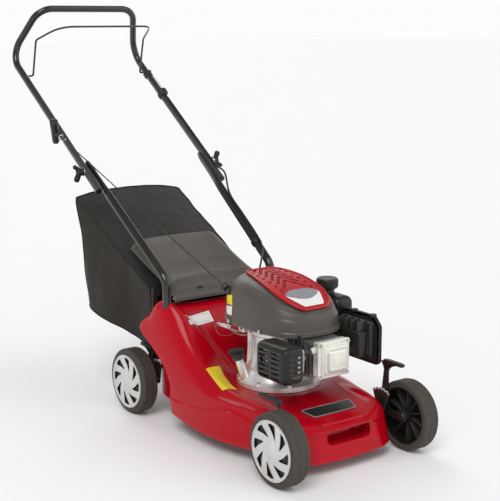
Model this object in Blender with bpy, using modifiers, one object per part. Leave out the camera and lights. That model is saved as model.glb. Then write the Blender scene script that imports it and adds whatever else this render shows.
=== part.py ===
"""Push lawn mower: moulded deck, vertical-shaft petrol engine, folding tube handle, grass bag.

Everything is modelled in metres on the ground plane, with x to the machine's left, y from the
front axle towards the operator and z up. One empty carries the whole machine, and centres it.
"""
import math

import bmesh
import bpy
from mathutils import Matrix, Vector

# Driving dimensions
CENTRE_Y = 0.57177            # middle of the machine, behind the front axle
GAP = 0.0003                 # left between pieces that touch
WHEEL_R = 0.0825
WHEEL_W = 0.042
WHEEL_FACE_X = 0.2094        # outer face of the tyre
FRONT_AXLE_Y = 0.0
REAR_AXLE_Y = 0.604
RIM_R = 0.0677
AXLE_R = 0.0059
CRANK_Y = 0.247              # engine shaft, which the blade turns on
BLADE_R = 0.184
SEAT_Z = 0.1365              # where the engine sits on the deck
PIVOT_REACH = 0.050          # height lever's pivot to its axle
PIVOT_Z = 0.0925
FOLD_Y, FOLD_Z = 0.820, 0.594
UPPER_TUBE_R = 0.0095
LOWER_TUBE_R = 0.0110
BAIL_R = 0.0028
CABLE_R = 0.0025
ROPE_R = 0.0014
SHEET = 0.003                # wall of the moulded deck

for old in list(bpy.data.objects):
    bpy.data.objects.remove(old, do_unlink=True)

SCENE = bpy.context.scene
PARTS = bpy.data.collections.new("push_mower")
CUTTERS = bpy.data.collections.new("cutters")
SCENE.collection.children.link(PARTS)
SCENE.collection.children.link(CUTTERS)

CARRIER = bpy.data.objects.new("mower_origin", None)
CARRIER.location = (0.0, -CENTRE_Y, 0.0)
PARTS.objects.link(CARRIER)

TO_X = (0.0, math.pi / 2, 0.0)               # turns local z to +x
TO_MINUS_X = (0.0, -math.pi / 2, 0.0)
SIDE_VIEW = (math.pi / 2, 0.0, math.pi / 2)  # turns local x, y, z to y, z, x
SIDES = (("right", -1), ("left", 1))


# ---------------------------------------------------------------- materials

def material(name, colour, roughness, metallic=0.0):
    made = bpy.data.materials.new(name)
    made.use_nodes = True
    shader = made.node_tree.nodes["Principled BSDF"]
    shader.inputs["Base Color"].default_value = (*colour, 1.0)
    shader.inputs["Roughness"].default_value = roughness
    shader.inputs["Metallic"].default_value = metallic
    made.diffuse_color = (*colour, 1.0)
    return made


RED = material("red_polypropylene", (0.62, 0.01, 0.03), 0.25)
BLACK = material("black_plastic", (0.025, 0.024, 0.022), 0.45)
GREY = material("grey_plastic", (0.10, 0.095, 0.09), 0.5)
TUBE_BLACK = material("black_painted_steel", (0.02, 0.02, 0.018), 0.3, 0.3)
STEEL = material("zinc_steel", (0.55, 0.55, 0.55), 0.3, 1.0)
CAST = material("cast_aluminium", (0.62, 0.61, 0.58), 0.4, 1.0)
SILVER = material("silver_plastic", (0.55, 0.54, 0.52), 0.4, 0.2)
RUBBER = material("tyre_rubber", (0.06, 0.058, 0.055), 0.8)
FABRIC = material("bag_fabric", (0.05, 0.047, 0.043), 0.9)
PAPER = material("filter_paper", (0.75, 0.65, 0.4), 0.9)
CERAMIC = material("ceramic", (0.85, 0.85, 0.82), 0.3)


# ---------------------------------------------------------------- building blocks

def place(obj, look, at=(0, 0, 0), turn=(0, 0, 0)):
    """A visible part, in the machine's frame."""
    PARTS.objects.link(obj)
    obj.parent = CARRIER
    obj.location = at
    obj.rotation_euler = turn
    if look is not None and obj.type in ("MESH", "CURVE"):
        obj.data.materials.append(look)
    return obj


def as_tool(obj):
    """Moves an object to the cutters: it only shapes another one."""
    PARTS.objects.unlink(obj)
    CUTTERS.objects.link(obj)
    obj.hide_render = True
    obj.display_type = "WIRE"
    return obj


def combine(obj, operation, *tools):
    for tool in tools:
        step = obj.modifiers.new(operation.lower(), "BOOLEAN")
        step.operation = operation
        step.solver = "EXACT"
        step.object = as_tool(tool)
    return obj


def cut(obj, *tools):
    return combine(obj, "DIFFERENCE", *tools)


def join(obj, *tools):
    return combine(obj, "UNION", *tools)


def from_bmesh(name, bm, smooth=True):
    bmesh.ops.recalc_face_normals(bm, faces=bm.faces)
    mesh = bpy.data.meshes.new(name)
    bm.to_mesh(mesh)
    bm.free()
    if smooth:
        mesh.shade_smooth()
        mesh.set_sharp_from_angle(angle=math.radians(35))
    return bpy.data.objects.new(name, mesh)


def box(name, look, low, high, round_by=0.0, segments=2):
    """A box between two corners, with its edges rounded."""
    low, high = Vector(low), Vector(high)
    bm = bmesh.new()
    bmesh.ops.create_cube(bm, size=1.0)
    bmesh.ops.scale(bm, vec=high - low, verts=bm.verts)
    obj = place(from_bmesh(name, bm), look, (low + high) / 2)
    if round_by:
        bevel = obj.modifiers.new("bevel", "BEVEL")
        bevel.width = round_by
        bevel.segments = segments
    return obj


def cylinder(name, look, radius, start, end, sides=24, end_radius=None):
    """A round bar from one point to another."""
    start, end = Vector(start), Vector(end)
    length = (end - start).length
    bm = bmesh.new()
    bmesh.ops.create_cone(
        bm, cap_ends=True, segments=sides, depth=length,
        radius1=radius, radius2=radius if end_radius is None else end_radius,
    )
    obj = place(from_bmesh(name, bm), look, (start + end) / 2)
    obj.rotation_euler = (end - start).to_track_quat("Z", "Y").to_euler()
    return obj


def turned(name, look, profile, at, turn=(0, 0, 0), steps=32, ring=True):
    """A profile of (radius, height) points turned about its own z axis.

    The points run down the outer side. A ring's profile closes on itself. The first facet is
    turned by half a step, so that a flat lies square to local -x.
    """
    half = math.pi / steps
    mesh = bpy.data.meshes.new(name)
    points = [(r * math.cos(half), r * math.sin(half), z) for r, z in profile]
    edges = [(i, i + 1) for i in range(len(points) - 1)]
    if ring:
        edges.append((len(points) - 1, 0))
    mesh.from_pydata(points, edges, [])
    obj = place(bpy.data.objects.new(name, mesh), look, at, turn)
    screw = obj.modifiers.new("screw", "SCREW")
    screw.steps = screw.render_steps = steps
    screw.use_merge_vertices = True
    screw.merge_threshold = 0.0001
    screw.use_smooth_shade = True
    return obj


def rounded(points, radius, steps=5):
    """A route with its corners rounded to arcs, each as large as its two sides allow."""
    points = [Vector(p) for p in points]
    route = [points[0]]
    for before, corner, after in zip(points, points[1:], points[2:]):
        to_before, to_after = (before - corner), (after - corner)
        a, b = to_before.normalized(), to_after.normalized()
        bend = a.angle(b)
        if bend > math.radians(178):
            route.append(corner)
            continue
        reach = min(radius / math.tan(bend / 2), to_before.length * 0.49, to_after.length * 0.49)
        actual = reach * math.tan(bend / 2)
        centre = corner + (a + b).normalized() * math.hypot(reach, actual)
        start, end = corner + a * reach, corner + b * reach
        for i in range(steps + 1):
            spoke = (start - centre).slerp(end - centre, i / steps)
            route.append(centre + spoke * actual)
    route.append(points[-1])
    return route


def smooth_route(points, count):
    """A smooth curve through the given points (Catmull-Rom), read at even steps."""
    points = [Vector(p) for p in points]
    padded = [2 * points[0] - points[1], *points, 2 * points[-1] - points[-2]]
    route = []
    for i in range(count + 1):
        place_on = i / count * (len(points) - 1)
        k = min(int(place_on), len(points) - 2)
        t = place_on - k
        p0, p1, p2, p3 = padded[k:k + 4]
        route.append(0.5 * (
            2 * p1 + (p2 - p0) * t + (2 * p0 - 5 * p1 + 4 * p2 - p3) * t ** 2
            + (3 * p1 - p0 - 3 * p2 + p3) * t ** 3
        ))
    return route


def tube(name, look, route, radius, resolution=2, at=(0, 0, 0), closed=False):
    """A round rod along a route. The object's origin can be put on a joint's axis."""
    curve = bpy.data.curves.new(name, "CURVE")
    curve.dimensions = "3D"
    curve.bevel_depth = radius
    curve.bevel_resolution = resolution
    curve.use_fill_caps = True
    spline = curve.splines.new("POLY")
    spline.points.add(len(route) - 1)
    for point, where in zip(spline.points, route):
        point.co = (*(Vector(where) - Vector(at)), 1.0)
    spline.use_cyclic_u = closed
    return place(bpy.data.objects.new(name, curve), look, at)


def plate(name, look, outlines, thickness, at, turn=(0, 0, 0)):
    """A flat piece: the first outline is its edge, and the others are holes in it."""
    curve = bpy.data.curves.new(name, "CURVE")
    curve.dimensions = "2D"
    curve.fill_mode = "BOTH"
    curve.extrude = thickness / 2
    for outline in outlines:
        spline = curve.splines.new("POLY")
        spline.points.add(len(outline) - 1)
        for point, (u, v) in zip(spline.points, outline):
            point.co = (u, v, 0.0, 1.0)
        spline.use_cyclic_u = True
    return place(bpy.data.objects.new(name, curve), look, at, turn)


def as_mesh(obj):
    """The same piece as a closed mesh, so that it can be cut and joined."""
    bpy.context.view_layer.update()
    graph = bpy.context.evaluated_depsgraph_get()
    mesh = bpy.data.meshes.new_from_object(obj.evaluated_get(graph))
    bm = bmesh.new()
    bm.from_mesh(mesh)
    bmesh.ops.remove_doubles(bm, verts=bm.verts, dist=0.00001)
    bmesh.ops.recalc_face_normals(bm, faces=bm.faces)
    bm.to_mesh(mesh)
    bm.free()
    name, matrix = obj.name, obj.matrix_world.copy()
    bpy.data.objects.remove(obj, do_unlink=True)
    made = bpy.data.objects.new(name, mesh)
    PARTS.objects.link(made)
    made.parent = CARRIER
    made.matrix_world = matrix
    return made


def circle(radius, count=24, centre=(0, 0), start=0.0):
    return [
        (
            centre[0] + radius * math.cos(start + 2 * math.pi * i / count),
            centre[1] + radius * math.sin(start + 2 * math.pi * i / count),
        )
        for i in range(count)
    ]


def arc(radius, start, end, count, centre=(0, 0)):
    """Points on an arc, with its angles in degrees."""
    return [
        (
            centre[0] + radius * math.cos(math.radians(start + (end - start) * i / count)),
            centre[1] + radius * math.sin(math.radians(start + (end - start) * i / count)),
        )
        for i in range(count + 1)
    ]


def grid_surface(name, rows, close_rows=False):
    """A surface of quads over rows of points of equal length."""
    bm = bmesh.new()
    verts = [[bm.verts.new(p) for p in row] for row in rows]
    for row, below in zip(verts, verts[1:]):
        wrap = [(row[-1], row[0], below[0], below[-1])] if close_rows else []
        quads = list(zip(row, row[1:], below[1:], below)) + wrap
        for quad in quads:
            bm.faces.new(quad)
    return bm


def mix(a, b, t):
    return Vector(a) * (1 - t) + Vector(b) * t


# ---------------------------------------------------------------- deck

# Half of the deck's outer surface, as rings from the hem up over the rim. Each ring has one
# point for each of fourteen stations, which run from the middle of the nose round to the rear.
DECK_HEM = (
    (0, -0.025, 0.030), (0.060, -0.023, 0.030), (0.118, -0.017, 0.030), (0.147, 0.000, 0.030),
    (0.148, 0.050, 0.030), (0.152, 0.105, 0.032), (0.176, 0.160, 0.034), (0.196, 0.240, 0.035),
    (0.199, 0.335, 0.037), (0.192, 0.425, 0.045), (0.150, 0.440, 0.048), (0.148, 0.560, 0.055),
    (0.110, 0.572, 0.055), (0, 0.572, 0.055),
)
DECK_CREASE = (
    (0, -0.018, 0.058), (0.060, -0.016, 0.058), (0.116, -0.010, 0.058), (0.144, 0.006, 0.060),
    (0.148, 0.050, 0.060), (0.152, 0.108, 0.075), (0.172, 0.165, 0.105), (0.192, 0.245, 0.092),
    (0.197, 0.338, 0.076), (0.193, 0.430, 0.072), (0.150, 0.450, 0.172), (0.150, 0.560, 0.200),
    (0.110, 0.572, 0.130), (0, 0.572, 0.130),
)
DECK_WAIST = (
    (0, -0.010, 0.085), (0.060, -0.008, 0.085), (0.112, -0.002, 0.085), (0.138, 0.014, 0.088),
    (0.146, 0.052, 0.090), (0.149, 0.112, 0.110), (0.166, 0.170, 0.116), (0.180, 0.250, 0.115),
    (0.188, 0.342, 0.115), (0.192, 0.445, 0.125), (0.190, 0.490, 0.190), (0.188, 0.562, 0.222),
    (0.112, 0.568, 0.210), (0, 0.568, 0.210),
)
DECK_SHOULDER = (
    (0, -0.002, 0.107), (0.060, 0.000, 0.107), (0.106, 0.006, 0.107), (0.130, 0.022, 0.110),
    (0.140, 0.055, 0.118), (0.144, 0.118, 0.125), (0.156, 0.178, 0.123), (0.168, 0.254, 0.125),
    (0.176, 0.345, 0.150), (0.184, 0.442, 0.190), (0.186, 0.490, 0.250), (0.186, 0.557, 0.262),
    (0.115, 0.553, 0.270), (0, 0.553, 0.275),
)
DECK_RIM = (
    (0, 0.030, 0.114), (0.055, 0.030, 0.114), (0.095, 0.034, 0.115), (0.120, 0.045, 0.118),
    (0.128, 0.062, 0.130), (0.132, 0.125, 0.134), (0.142, 0.185, 0.136), (0.150, 0.258, 0.140),
    (0.155, 0.350, 0.176), (0.162, 0.440, 0.250), (0.165, 0.487, 0.300), (0.172, 0.522, 0.312),
    (0.120, 0.500, 0.298), (0, 0.500, 0.298),
)
SEAT_ANGLES = (-90, -72, -54, -40, -28, -14, 0, 16, 34, 50, 60, 68, 76, 90)
SEAT_R, SHAFT_HOLE_R = 0.118, 0.035


def seat_ring(radius, height):
    """The level part that the engine stands on, round the shaft."""
    return [
        (radius * math.cos(math.radians(a)) if abs(a) < 90 else 0.0,
         CRANK_Y + radius * math.sin(math.radians(a)), height)
        for a in SEAT_ANGLES
    ]


def eased(a, b, t):
    """Between two points, with the height held back towards the first."""
    return Vector((*mix(a, b, t).xy, a[2] + (b[2] - a[2]) * t ** 1.5))


def crease_deck(mesh, stations):
    """Keeps the hem and the edge of the arch over the rear wheel sharp."""
    arch = {(0, 9), (1, 9), (2, 9), (2, 10), (2, 11)}
    crease = mesh.attributes.new("crease_edge", "FLOAT", "EDGE")
    for edge in mesh.edges:
        ends = [divmod(v, stations) for v in edge.vertices]
        if all(end in arch for end in ends):
            crease.data[edge.index].value = 0.9
        elif all(row == 1 and station <= 9 for row, station in ends):
            crease.data[edge.index].value = 0.5


def build_deck():
    seat = seat_ring(SEAT_R, SEAT_Z)
    inner_rim = [eased(a, b, 0.22) for a, b in zip(DECK_RIM, seat)]
    slope = [eased(a, b, 0.65) for a, b in zip(DECK_RIM, seat)]
    rows = (
        DECK_HEM, DECK_CREASE, DECK_WAIST, DECK_SHOULDER, DECK_RIM, inner_rim, slope, seat,
        seat_ring(0.105, SEAT_Z), seat_ring(SHAFT_HOLE_R * 1.5, SEAT_Z),
        seat_ring(SHAFT_HOLE_R, SEAT_Z),
    )
    deck = place(from_bmesh("deck", grid_surface("deck", rows)), RED)
    crease_deck(deck.data, len(DECK_HEM))
    mirror = deck.modifiers.new("mirror", "MIRROR")
    mirror.use_axis = (True, False, False)
    mirror.use_clip = True
    mirror.merge_threshold = 0.0001
    subdivide = deck.modifiers.new("subdivide", "SUBSURF")
    subdivide.levels = subdivide.render_levels = 1
    shell = deck.modifiers.new("shell", "SOLIDIFY")
    shell.thickness = SHEET
    shell.offset = -1.0
    # The carry handle is a closed pocket in the nose.
    pocket_block = box("pocket_block", None, (-0.078, 0.0, 0.058), (0.078, 0.036, 0.100))
    pocket = box("pocket", None, (-0.074, -0.040, 0.0615), (0.074, 0.032, 0.0965), 0.008)
    join(deck, pocket_block)
    cut(deck, pocket)
    # Clippings leave through the back, into the bag.
    cut(deck, box("discharge", None, (-0.105, 0.520, 0.085), (0.105, 0.600, 0.255), 0.015))
    for side, sign in SIDES:
        x = sign * 0.160
        socket = cylinder(f"socket_{side}", None, LOWER_TUBE_R + 0.0006, (x, 0.489, 0.222),
                          (x, 0.489, 0.350))
        cut(deck, socket)


def build_badge():
    """The dark name plate on the nose, left blank."""
    outline = [(-0.072, 0.0), (-0.064, -0.050), (0.064, -0.050), (0.072, 0.0)]
    plate("front_badge", BLACK, [outline], 0.0016, (0.0, 0.083, 0.1249), (math.radians(10.8), 0, 0))


# ---------------------------------------------------------------- wheels and height levers

LEVER_X = 0.1575             # inner face of the lever plates
LEVER_T = 0.004
QUADRANT_X = 0.1530
QUADRANT_T = 0.003
AXLE_DROP = 0.0825 - PIVOT_Z
WHEELS = (
    # name, side, axle y, pivot ahead of (-1) or behind (+1) the axle, and the grip's height over
    # the pivot and its two ends, measured from it
    ("front_right", -1, FRONT_AXLE_Y, 1, (0.0770, -0.016, 0.061)),
    ("front_left", 1, FRONT_AXLE_Y, 1, (0.1120, 0.006, -0.075)),
    ("rear_right", -1, REAR_AXLE_Y, -1, (0.0780, 0.012, 0.058)),
    ("rear_left", 1, REAR_AXLE_Y, -1, (0.0780, 0.012, 0.058)),
)


def cap_slots():
    """Eight swept wedges, as the holes of the wheel cap."""
    slots = []
    for i in range(8):
        turn = math.radians(45 * i)
        wedge = []
        for r, lean in ((0.030, -0.02), (0.044, 0.10), (0.060, 0.28), (0.061, 0.10),
                        (0.060, -0.06), (0.044, -0.12)):
            wedge.append((r * math.cos(turn + lean), r * math.sin(turn + lean)))
        slots.append(wedge)
    return slots


def build_wheel(name, sign, axle_y):
    at = (sign * WHEEL_FACE_X, axle_y, WHEEL_R)
    turn = TO_X if sign > 0 else TO_MINUS_X
    steps = 36
    grow = 1 / math.cos(math.pi / steps)   # flats, not corners, lie on the tread's radius
    tread, shoulder = WHEEL_R * grow, 0.0790 * grow
    bore = 0.0683 * grow
    turned(
        f"{name}_tyre", RUBBER,
        ((shoulder, 0), (tread, -0.005), (tread, 0.005 - WHEEL_W), (shoulder, -WHEEL_W),
         (bore, -WHEEL_W), (bore, 0)),
        at, turn, steps,
    )
    turned(
        f"{name}_rim", BLACK,
        ((RIM_R, 0), (RIM_R, -0.038), (0.0650, -0.038), (0.0650, -0.0065), (0.0130, -0.0065),
         (0.0130, -0.0400), (0.0062, -0.0400), (0.0062, -0.0035), (0.0650, -0.0035), (0.0650, 0)),
        at, turn, 32,
    )
    plate(
        f"{name}_cap", SILVER, [circle(RIM_R, 40), *cap_slots()], 0.002,
        (sign * (WHEEL_FACE_X + 0.0014), axle_y, WHEEL_R), turn,
    )


def build_height_lever(name, sign, axle_y, pivot_side, grip_at):
    """A steel lever on a pivot in the deck. Its far end is the wheel's axle."""
    pivot = (sign * (LEVER_X + LEVER_T / 2), axle_y + pivot_side * PIVOT_REACH, PIVOT_Z)
    axle = Vector((-pivot_side * PIVOT_REACH, AXLE_DROP))
    rise, near, far = grip_at
    foot = near + math.copysign(0.007, far - near)
    if pivot_side > 0:
        outline = [
            (foot + 0.007, rise), (foot - 0.007, rise), (-0.013, 0.010), (-0.030, 0.002),
            *arc(0.011, 100, 260, 6, axle), (-0.030, -0.016), (0.002, -0.012), (0.012, -0.004),
            (0.012, 0.006),
        ]
    else:
        outline = [
            (foot + 0.007, rise), (foot - 0.007, rise), (-0.012, 0.006), (-0.012, -0.004),
            (-0.002, -0.012), (0.030, -0.016), *arc(0.011, -80, 80, 6, axle), (0.030, 0.002),
            (0.016, 0.010),
        ]
    lever = as_mesh(plate(f"{name}_height_lever", TUBE_BLACK, [outline, circle(0.0053, 16)],
                          LEVER_T, pivot, SIDE_VIEW))
    x0, y0, z0 = pivot
    stub = cylinder("stub", None, AXLE_R, (x0, y0 + axle.x, z0 + axle.y),
                    (sign * (WHEEL_FACE_X - 0.004), y0 + axle.x, z0 + axle.y), 20)
    low_x, high_x = sorted((sign * 0.1530, sign * 0.1662))
    grip = box("grip", None, (low_x, y0 + min(near, far), z0 + rise - 0.005),
               (high_x, y0 + max(near, far), z0 + rise + 0.007), 0.003, 1)
    join(lever, stub, grip)


def build_quadrant(name, sign, axle_y, pivot_side, grip_at):
    """The notched plate on the deck, with the pin that its lever turns on."""
    at = (sign * (QUADRANT_X + QUADRANT_T / 2), axle_y + pivot_side * PIVOT_REACH, PIVOT_Z)
    middle = math.degrees(math.atan2(grip_at[0], grip_at[1]))
    edge = arc(0.014, middle + 130, middle + 230, 4)
    for i in range(5):
        start = middle - 35 + i * 14
        edge += arc(0.050, start, start + 7, 1) + arc(0.045, start + 7, start + 14, 1)
    quadrant = as_mesh(plate(f"{name}_quadrant", STEEL, [edge], QUADRANT_T, at, SIDE_VIEW))
    pin = cylinder("pin", None, 0.0049, at, (sign * (LEVER_X + LEVER_T + 0.002), at[1], at[2]), 16)
    join(quadrant, pin)


# ---------------------------------------------------------------- engine

FLANGE_Z = SEAT_Z + 2 * GAP
FILLER_FOOT, FILLER_MOUTH = (-0.0867, 0.262, 0.1500), (-0.1030, 0.267, 0.2040)
COWL_RINGS = (
    # front and rear ends in y, half width, height of the front and rear ends, share of the arch
    (0.0895, 0.3855, 0.1090, 0.2835, 0.2835, 0.0),
    (0.0900, 0.3850, 0.1085, 0.3000, 0.3180, 0.1),
    (0.0925, 0.3790, 0.1050, 0.3150, 0.3500, 0.4),
    (0.0960, 0.3680, 0.0960, 0.3260, 0.3710, 0.8),
    (0.1000, 0.3540, 0.0840, 0.3330, 0.3830, 1.0),
    (0.1040, 0.3420, 0.0680, 0.3380, 0.3890, 1.0),
)
COWL_SIDES = 28
ARCH = 0.066


def arched(y, front, rear, low, high, arch):
    t = (y - front) / (rear - front)
    return low + (high - low) * t + arch * ARCH * t * (1 - t)


def roof(y):
    front, rear, _, low, high, arch = COWL_RINGS[-1]
    return arched(y, front, rear, low, high, arch)


def superellipse(half_x, half_y, power, count):
    points = []
    for i in range(count):
        a = 2 * math.pi * (i + 0.5) / count
        c, s = math.cos(a), math.sin(a)
        points.append((
            half_x * math.copysign(abs(c) ** (2 / power), c),
            half_y * math.copysign(abs(s) ** (2 / power), s),
        ))
    return points


def build_cowl():
    """The blower cover: a dome with an arched roof, which falls towards the front, open below."""
    rows = []
    for front, rear, half_x, low, high, arch in COWL_RINGS:
        ring = superellipse(half_x, (rear - front) / 2, 2.6, COWL_SIDES)
        ring = [(x, y + (front + rear) / 2) for x, y in ring]
        rows.append([(x, y, arched(y, front, rear, low, high, arch)) for x, y in ring])
    bm = grid_surface("engine_cowl", rows, close_rows=True)
    top = list(bm.verts)[-COWL_SIDES:]
    quarter = COWL_SIDES // 4
    left = [top[i % COWL_SIDES] for i in range(-quarter, quarter)]
    right = [top[(2 * quarter - 1 - i) % COWL_SIDES] for i in range(-quarter, quarter)]
    for i in range(len(left) - 1):
        bm.faces.new((left[i], left[i + 1], right[i + 1], right[i]))
    cowl = place(from_bmesh("engine_cowl", bm), GREY)
    shell = cowl.modifiers.new("shell", "SOLIDIFY")
    shell.thickness = 0.0025
    shell.offset = -1.0
    cut(cowl, cylinder("rope_outlet", None, 0.007, OUTLET - PULL * 0.040, OUTLET + PULL * 0.030, 12))


GRILLE_ROWS = (
    # y and half width of the louvred plate
    (0.1070, 0.0300), (0.1160, 0.0440), (0.1350, 0.0550), (0.1650, 0.0640), (0.2000, 0.0640),
    (0.2400, 0.0600), (0.2800, 0.0520), (0.3100, 0.0440), (0.3300, 0.0340),
)


def build_grille():
    """The red louvred plate that lies on the cowl's roof."""
    lift = 0.0030
    rows = [[(x * wide, y, roof(y) + lift) for x in (-1, -0.4, 0.4, 1)] for y, wide in GRILLE_ROWS]
    grille = place(from_bmesh("cowl_grille", grid_surface("cowl_grille", rows)), RED)
    shell = grille.modifiers.new("shell", "SOLIDIFY")
    shell.thickness = 0.0045
    shell.offset = 0.0
    for i in range(5):
        y = 0.185 + i * 0.030
        for sign in (-1, 1):
            slot = box(f"air_slot_{i}", None, (-0.0150, -0.0035, -0.020), (0.0150, 0.0035, 0.020))
            slot.location = (sign * 0.026, y, roof(y))
            slot.rotation_euler = (0, 0, sign * math.radians(33))
            cut(grille, slot)


def build_sump():
    """The lower casing with its mounting flange, and the oil filler's neck."""
    sump = turned(
        "engine_sump", CAST,
        ((0.079, 0.178), (0.090, 0.156), (0.100, 0.149), (0.100, FLANGE_Z), (0.0125, FLANGE_Z),
         (0.0125, 0.178)),
        (0.0, CRANK_Y, 0.0), steps=40,
    )
    foot, mouth = Vector(FILLER_FOOT), Vector(FILLER_MOUTH)
    join(sump, cylinder("neck", None, 0.0105, foot, mouth, 16))
    cut(sump, cylinder("neck_bore", None, 0.0075, mix(foot, mouth, 0.60), mix(foot, mouth, 1.2), 16))


def build_dipstick():
    """A screw cap with its measuring blade, in the oil filler's neck."""
    mouth = Vector(FILLER_MOUTH)
    along = (mouth - Vector(FILLER_FOOT)).normalized()
    dipstick = cylinder("dipstick", BLACK, 0.0135, mouth + along * GAP, mouth + along * 0.022, 16)
    join(dipstick, cylinder("measuring_blade", None, 0.003, mouth - along * 0.018,
                            mouth + along * 0.004, 8))


def build_cylinder_block():
    """The upper crankcase, with the finned barrel and head, which point forwards from it."""
    block = turned(
        "cylinder_block", CAST,
        ((0.072, 0.268), (0.079, 0.178 + GAP), (0.0125, 0.178 + GAP), (0.0125, 0.268)),
        (0.0, CRANK_Y, 0.0), steps=40,
    )
    join(block, box("barrel", None, (-0.033, 0.0540, 0.203), (0.033, 0.1850, 0.2665)))
    for i in range(8):
        y = 0.0735 + i * 0.0110
        wide = 0.046 if y < 0.120 else 0.050
        join(block, box(f"fin_{i}", None, (-wide, y, 0.1930), (wide, y + 0.0028, 0.2765)))
    join(block, box("head", None, (-0.042, 0.0526, 0.1990), (0.042, 0.0685, 0.2800)))


def build_valve_cover():
    cover = box("valve_cover", CAST, (-0.045, 0.0455, 0.197), (0.045, 0.0522, 0.282), 0.0012, 1)
    hump = box("hump", None, (-0.031, 0.0250, 0.208), (0.034, 0.0480, 0.270), 0.006, 2)
    join(cover, hump)


def build_muffler():
    muffler = box("muffler", STEEL, (-0.136, 0.050, 0.212), (-0.076, 0.142, 0.275), 0.010, 2)
    pipe = cylinder("pipe", None, 0.011, (-0.100, 0.092, 0.240), (-0.0507, 0.092, 0.240), 16)
    join(muffler, pipe)


def build_muffler_guard():
    """A plastic box round the muffler, slotted on its side and front, open to the engine."""
    guard = box("muffler_guard", BLACK, (-0.1430, 0.0400, 0.2050), (-0.0840, 0.1520, 0.2820),
                0.012, 2)
    hollow = box("guard_hollow", None, (-0.1405, 0.0425, 0.2075), (-0.0600, 0.1495, 0.2795),
                 0.010, 2)
    cut(guard, hollow)
    for row in range(5):
        z = 0.2150 + row * 0.0115
        for low_y, high_y in ((0.058, 0.090), (0.100, 0.134)):
            cut(guard, box(f"side_slot_{row}", None, (-0.150, low_y, z), (-0.136, high_y, z + 0.0052)))
        if row < 4:
            cut(guard, box(f"front_slot_{row}", None, (-0.126, 0.030, z + 0.006),
                           (-0.101, 0.048, z + 0.0112)))


def build_fuel_system():
    tank = box("fuel_tank", BLACK, (0.1180, 0.176, 0.236), (0.1760, 0.330, 0.334), 0.016, 2)
    neck = cylinder("tank_neck", None, 0.0170, (0.140, 0.238, 0.325), (0.140, 0.238, 0.3440), 20)
    join(tank, neck)
    turned(
        "fuel_cap", BLACK,
        ((0.0, 0.0320), (0.0235, 0.0320), (0.0265, 0.0290), (0.0265, 0.0080), (0.0200, 0.0050),
         (0.0, 0.0050)),
        (0.140, 0.238, 0.3396), steps=28, ring=False,
    )
    carburettor = box("carburettor", CAST, (0.0520, 0.090, 0.222), (0.0640, 0.138, 0.268),
                      0.004, 1)
    join(carburettor, cylinder("float_bowl", None, 0.016, (0.0680, 0.114, 0.205),
                               (0.0680, 0.114, 0.240), 16))
    return carburettor


def build_air_filter():
    """The filter's body, the paper element in it and the cover that swings down off it."""
    body = box("air_filter_body", BLACK, (0.1130, 0.052, 0.220), (0.1290, 0.158, 0.303), 0.004, 2)
    join(body, box("body_back", None, (0.0870, 0.060, 0.222), (0.1150, 0.150, 0.2820), 0.004, 1))
    cut(body, box("body_hollow", None, (0.1150, 0.055, 0.223), (0.1400, 0.155, 0.300)))
    box("air_filter_element", PAPER, (0.1160, 0.058, 0.226), (0.1288, 0.152, 0.297), 0.001, 1)
    outline = rounded([
        (-0.068, 0.030, 0), (-0.068, 0.000, 0), (0.070, 0.000, 0), (0.070, 0.116, 0),
        (-0.046, 0.116, 0), (-0.068, 0.094, 0), (-0.068, 0.030, 0),
    ], 0.012, 3)
    plate("air_filter_cover", BLACK, [[(p.x, p.y) for p in outline[:-1]]], 0.009,
          (0.1336, 0.106, 0.200), SIDE_VIEW)


def build_spark_plug():
    """The plug in the side of the head, with its hexagon and its cap."""
    plug = cylinder("spark_plug", CERAMIC, 0.0045, (-0.0424, 0.0605, 0.262), (-0.064, 0.0605, 0.262),
                    12)
    join(plug, cylinder("hexagon", None, 0.0075, (-0.0440, 0.0605, 0.262), (-0.051, 0.0605, 0.262), 6))


# ---------------------------------------------------------------- turning parts

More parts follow.
